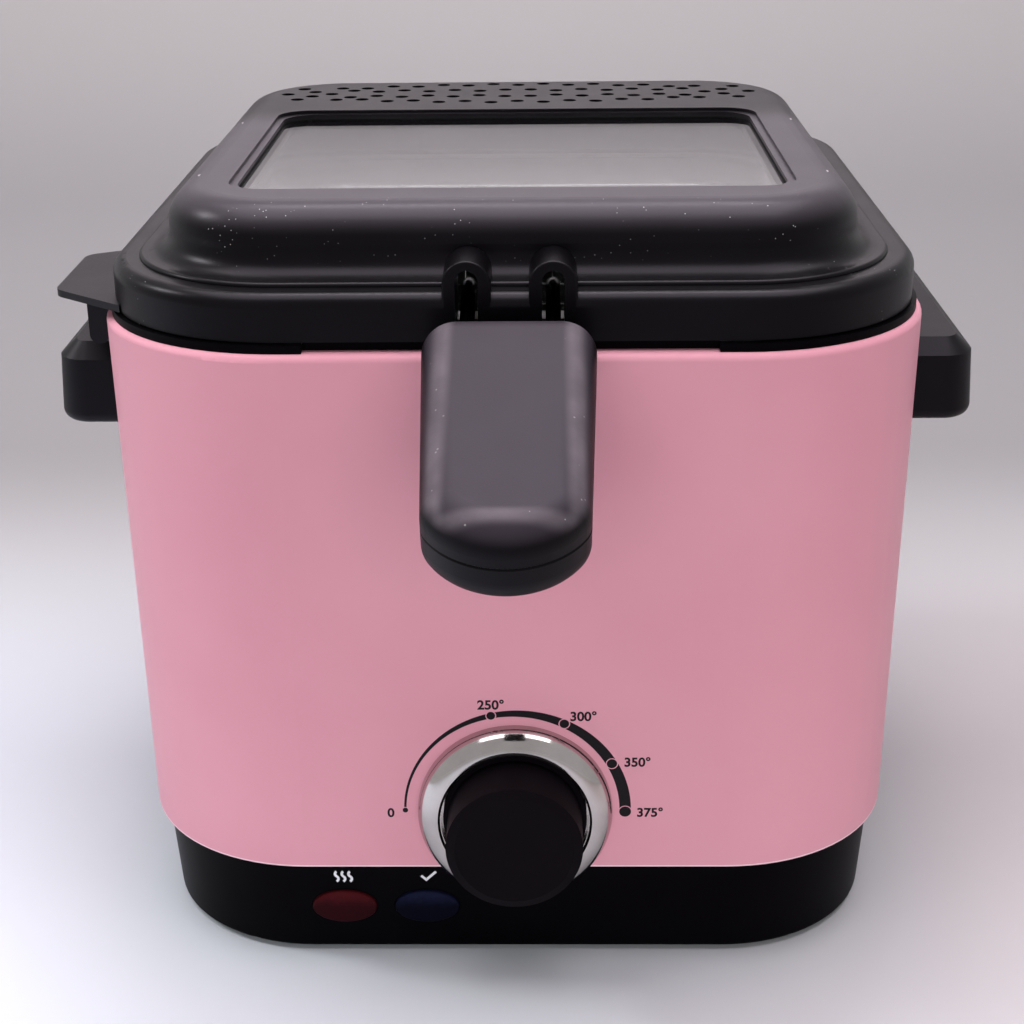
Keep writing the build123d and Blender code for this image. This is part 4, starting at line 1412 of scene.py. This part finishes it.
@dataclass
class Studio:
    """Pale floor that sweeps up into a wall, and soft light."""

    half: float = 3.0
    wall: float = 1.7
    wall_height: float = 2.6
    sweep: float = 0.9
    sweep_steps: int = 24
    near: Colour = (0.10, 0.10, 0.10)
    near_seen: Colour = (0.40, 0.40, 0.405)
    far: Colour = (0.56, 0.55, 0.56)
    far_front: Pair = (-0.75, -0.20)
    far_side: Pair = (0.68, 1.05)
    # Painted fall of light: a paler floor in front, a darker band behind the fryer, a paler upper
    # wall.
    light_fall_tones: tuple[tuple[Axis, float, float, Colour], ...] = (
        (Axis.Y, -0.50, -0.12, (0.66, 0.66, 0.67)),
        (Axis.Y, -0.10, 0.06, (0.48, 0.48, 0.49)),
        (Axis.Y, 0.05, 0.33, (0.22, 0.215, 0.22)),
        (Axis.Y, 0.80, 1.35, (0.32, 0.31, 0.31)),
        (Axis.Z, 0.12, 0.26, (0.22, 0.21, 0.215)),
        (Axis.Z, 0.42, 0.70, (0.92, 0.87, 0.89)),
    )
    # Painted tints near the fryer: bluish light on the left, a warm painted shadow on the right.
    cool_light: Colour = (0.93, 0.99, 1.05)
    warm_shadow: Colour = (0.72, 0.66, 0.655)
    tint_side: Pair = (-0.10, 0.25)
    tint_end: Pair = (0.04, 0.26)
    roughness: float = 0.85
    specular: float = 0.2
    sky_strength: float = 0.21
    lamps: tuple[Softbox, ...] = (
        Softbox("key", (-1.3, -1.05, 0.75), (0, 0, 0.10), 1.3, 1.2, 1.4, mirrored=False),
        Softbox("fill", (1.3, -1.05, 0.75), (0, 0, 0.10), 1.3, 1.2, 3.4, mirrored=False),
        Softbox("front", (0.0, -1.7, 0.50), (0, 0, 0.12), 1.4, 0.8, 12.6, mirrored=False),
        Softbox("top", (0.0, 0.06, 1.45), (0, 0.06, 0.0), 1.8, 1.3, 33.0, (1.0, 0.95, 0.99)),
        Softbox("wash", (0.0, 0.75, 1.90), (0, 1.7, 0.75), 1.0, 0.5, 22.0, (1.0, 0.95, 0.99)),
        Softbox("window", (-1.38, 0.17, 1.09), (-0.07, -0.05, 0.19), 0.24, 0.24, 7.5),
    )

    def build(self) -> None:
        """Makes backdrop, lamps and world."""
        self.build_backdrop()
        self.build_world()
        for lamp in self.lamps:
            lamp.build()

    def build_backdrop(self) -> None:
        """Sweeps a floor into a wall and marks it as stage."""
        backdrop = added(bpy.ops.mesh.primitive_plane_add, size=2)
        backdrop.name = "backdrop"
        rear = self.wall - MM
        with editing(backdrop):
            bpy.ops.transform.resize(value=(self.half, self.half, 1))
            bpy.ops.transform.translate(value=(0, self.wall - self.half, 0))
            pick_edges(backdrop, lambda a, b: min(a.y, b.y) > rear)
            bpy.ops.mesh.extrude_region_move(
                TRANSFORM_OT_translate={"value": (0, 0, self.wall_height)}
            )
            pick_edges(backdrop, lambda a, b: min(a.y, b.y) > rear and max(a.z, b.z) < MM)
            bpy.ops.mesh.bevel(offset=self.sweep, segments=self.sweep_steps)
        bpy.ops.object.shade_smooth()
        backdrop.data.materials.append(self.paper())
        log.info("backdrop")

    def paper(self) -> Material:
        """Pale matt paper with painted light and shade: bluish light on the left, a warm painted
        shadow on the right, a darker band behind and a paler front.

        Returns:
            The backdrop's material.
        """
        shader = Shader("backdrop_paper")
        seen = shader.seen()
        tone = shader.mix(seen, self.near, self.near_seen)
        # Painted light and shade, in bands along Y and Z.
        for axis, low, high, colour in self.light_fall_tones:
            tone = shader.mix(shader.axis(axis).smooth(low, high), tone, colour)
        # Painted shadow on the right and bluish light on the left, on the floor in front, fading
        # out behind.
        tint = shader.mix(shader.axis(Axis.X).smooth(*self.tint_side), self.cool_light, self.warm_shadow)
        tint = shader.mix(shader.axis(Axis.Y).smooth(*self.tint_end), tint, WHITE)
        tone = shader.mix(1.0, tone, tint, "MULTIPLY")
        beside = abs(shader.axis(Axis.X)).smooth(*self.far_side)
        before = 1 - shader.axis(Axis.Y).smooth(*self.far_front)
        far = (before + beside).smooth(0.0, 1.0) * seen
        shader.set(Base_Color=shader.mix(far, tone, BLACK))
        shader.set(Emission_Color=shader.mix(far, BLACK, self.far), Emission_Strength=1.0)
        shader.set(Roughness=self.roughness, Specular_IOR_Level=self.specular)
        return shader.material

    def build_world(self) -> None:
        """Even grey light from all round, which the camera sees as pale as the far floor."""
        world = bpy.data.worlds.new("studio")
        world.use_nodes = True
        nodes = Nodes(world.node_tree)
        light = world.node_tree.nodes["Background"]
        nodes.feed(light.inputs["Color"], (*self.far, 1.0))
        level = nodes.seen() * (1.0 - self.sky_strength) + self.sky_strength
        nodes.feed(light.inputs["Strength"], level)
        bpy.context.scene.world = world


def main() -> None:
    """Dresses the fryer and sets the studio."""
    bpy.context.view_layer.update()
    bpy.context.scene.view_settings.view_transform = "Standard"
    Viewpoint().build()
    Studio().build()
    Housing().dress()
    Heater().dress()
    PowerSocket().dress()
    Dial().build()
    LampPair().build()
    Lid().dress()
    Basket().build()


if __name__ == "__main__":
    logging.basicConfig(level=logging.INFO)
    main()
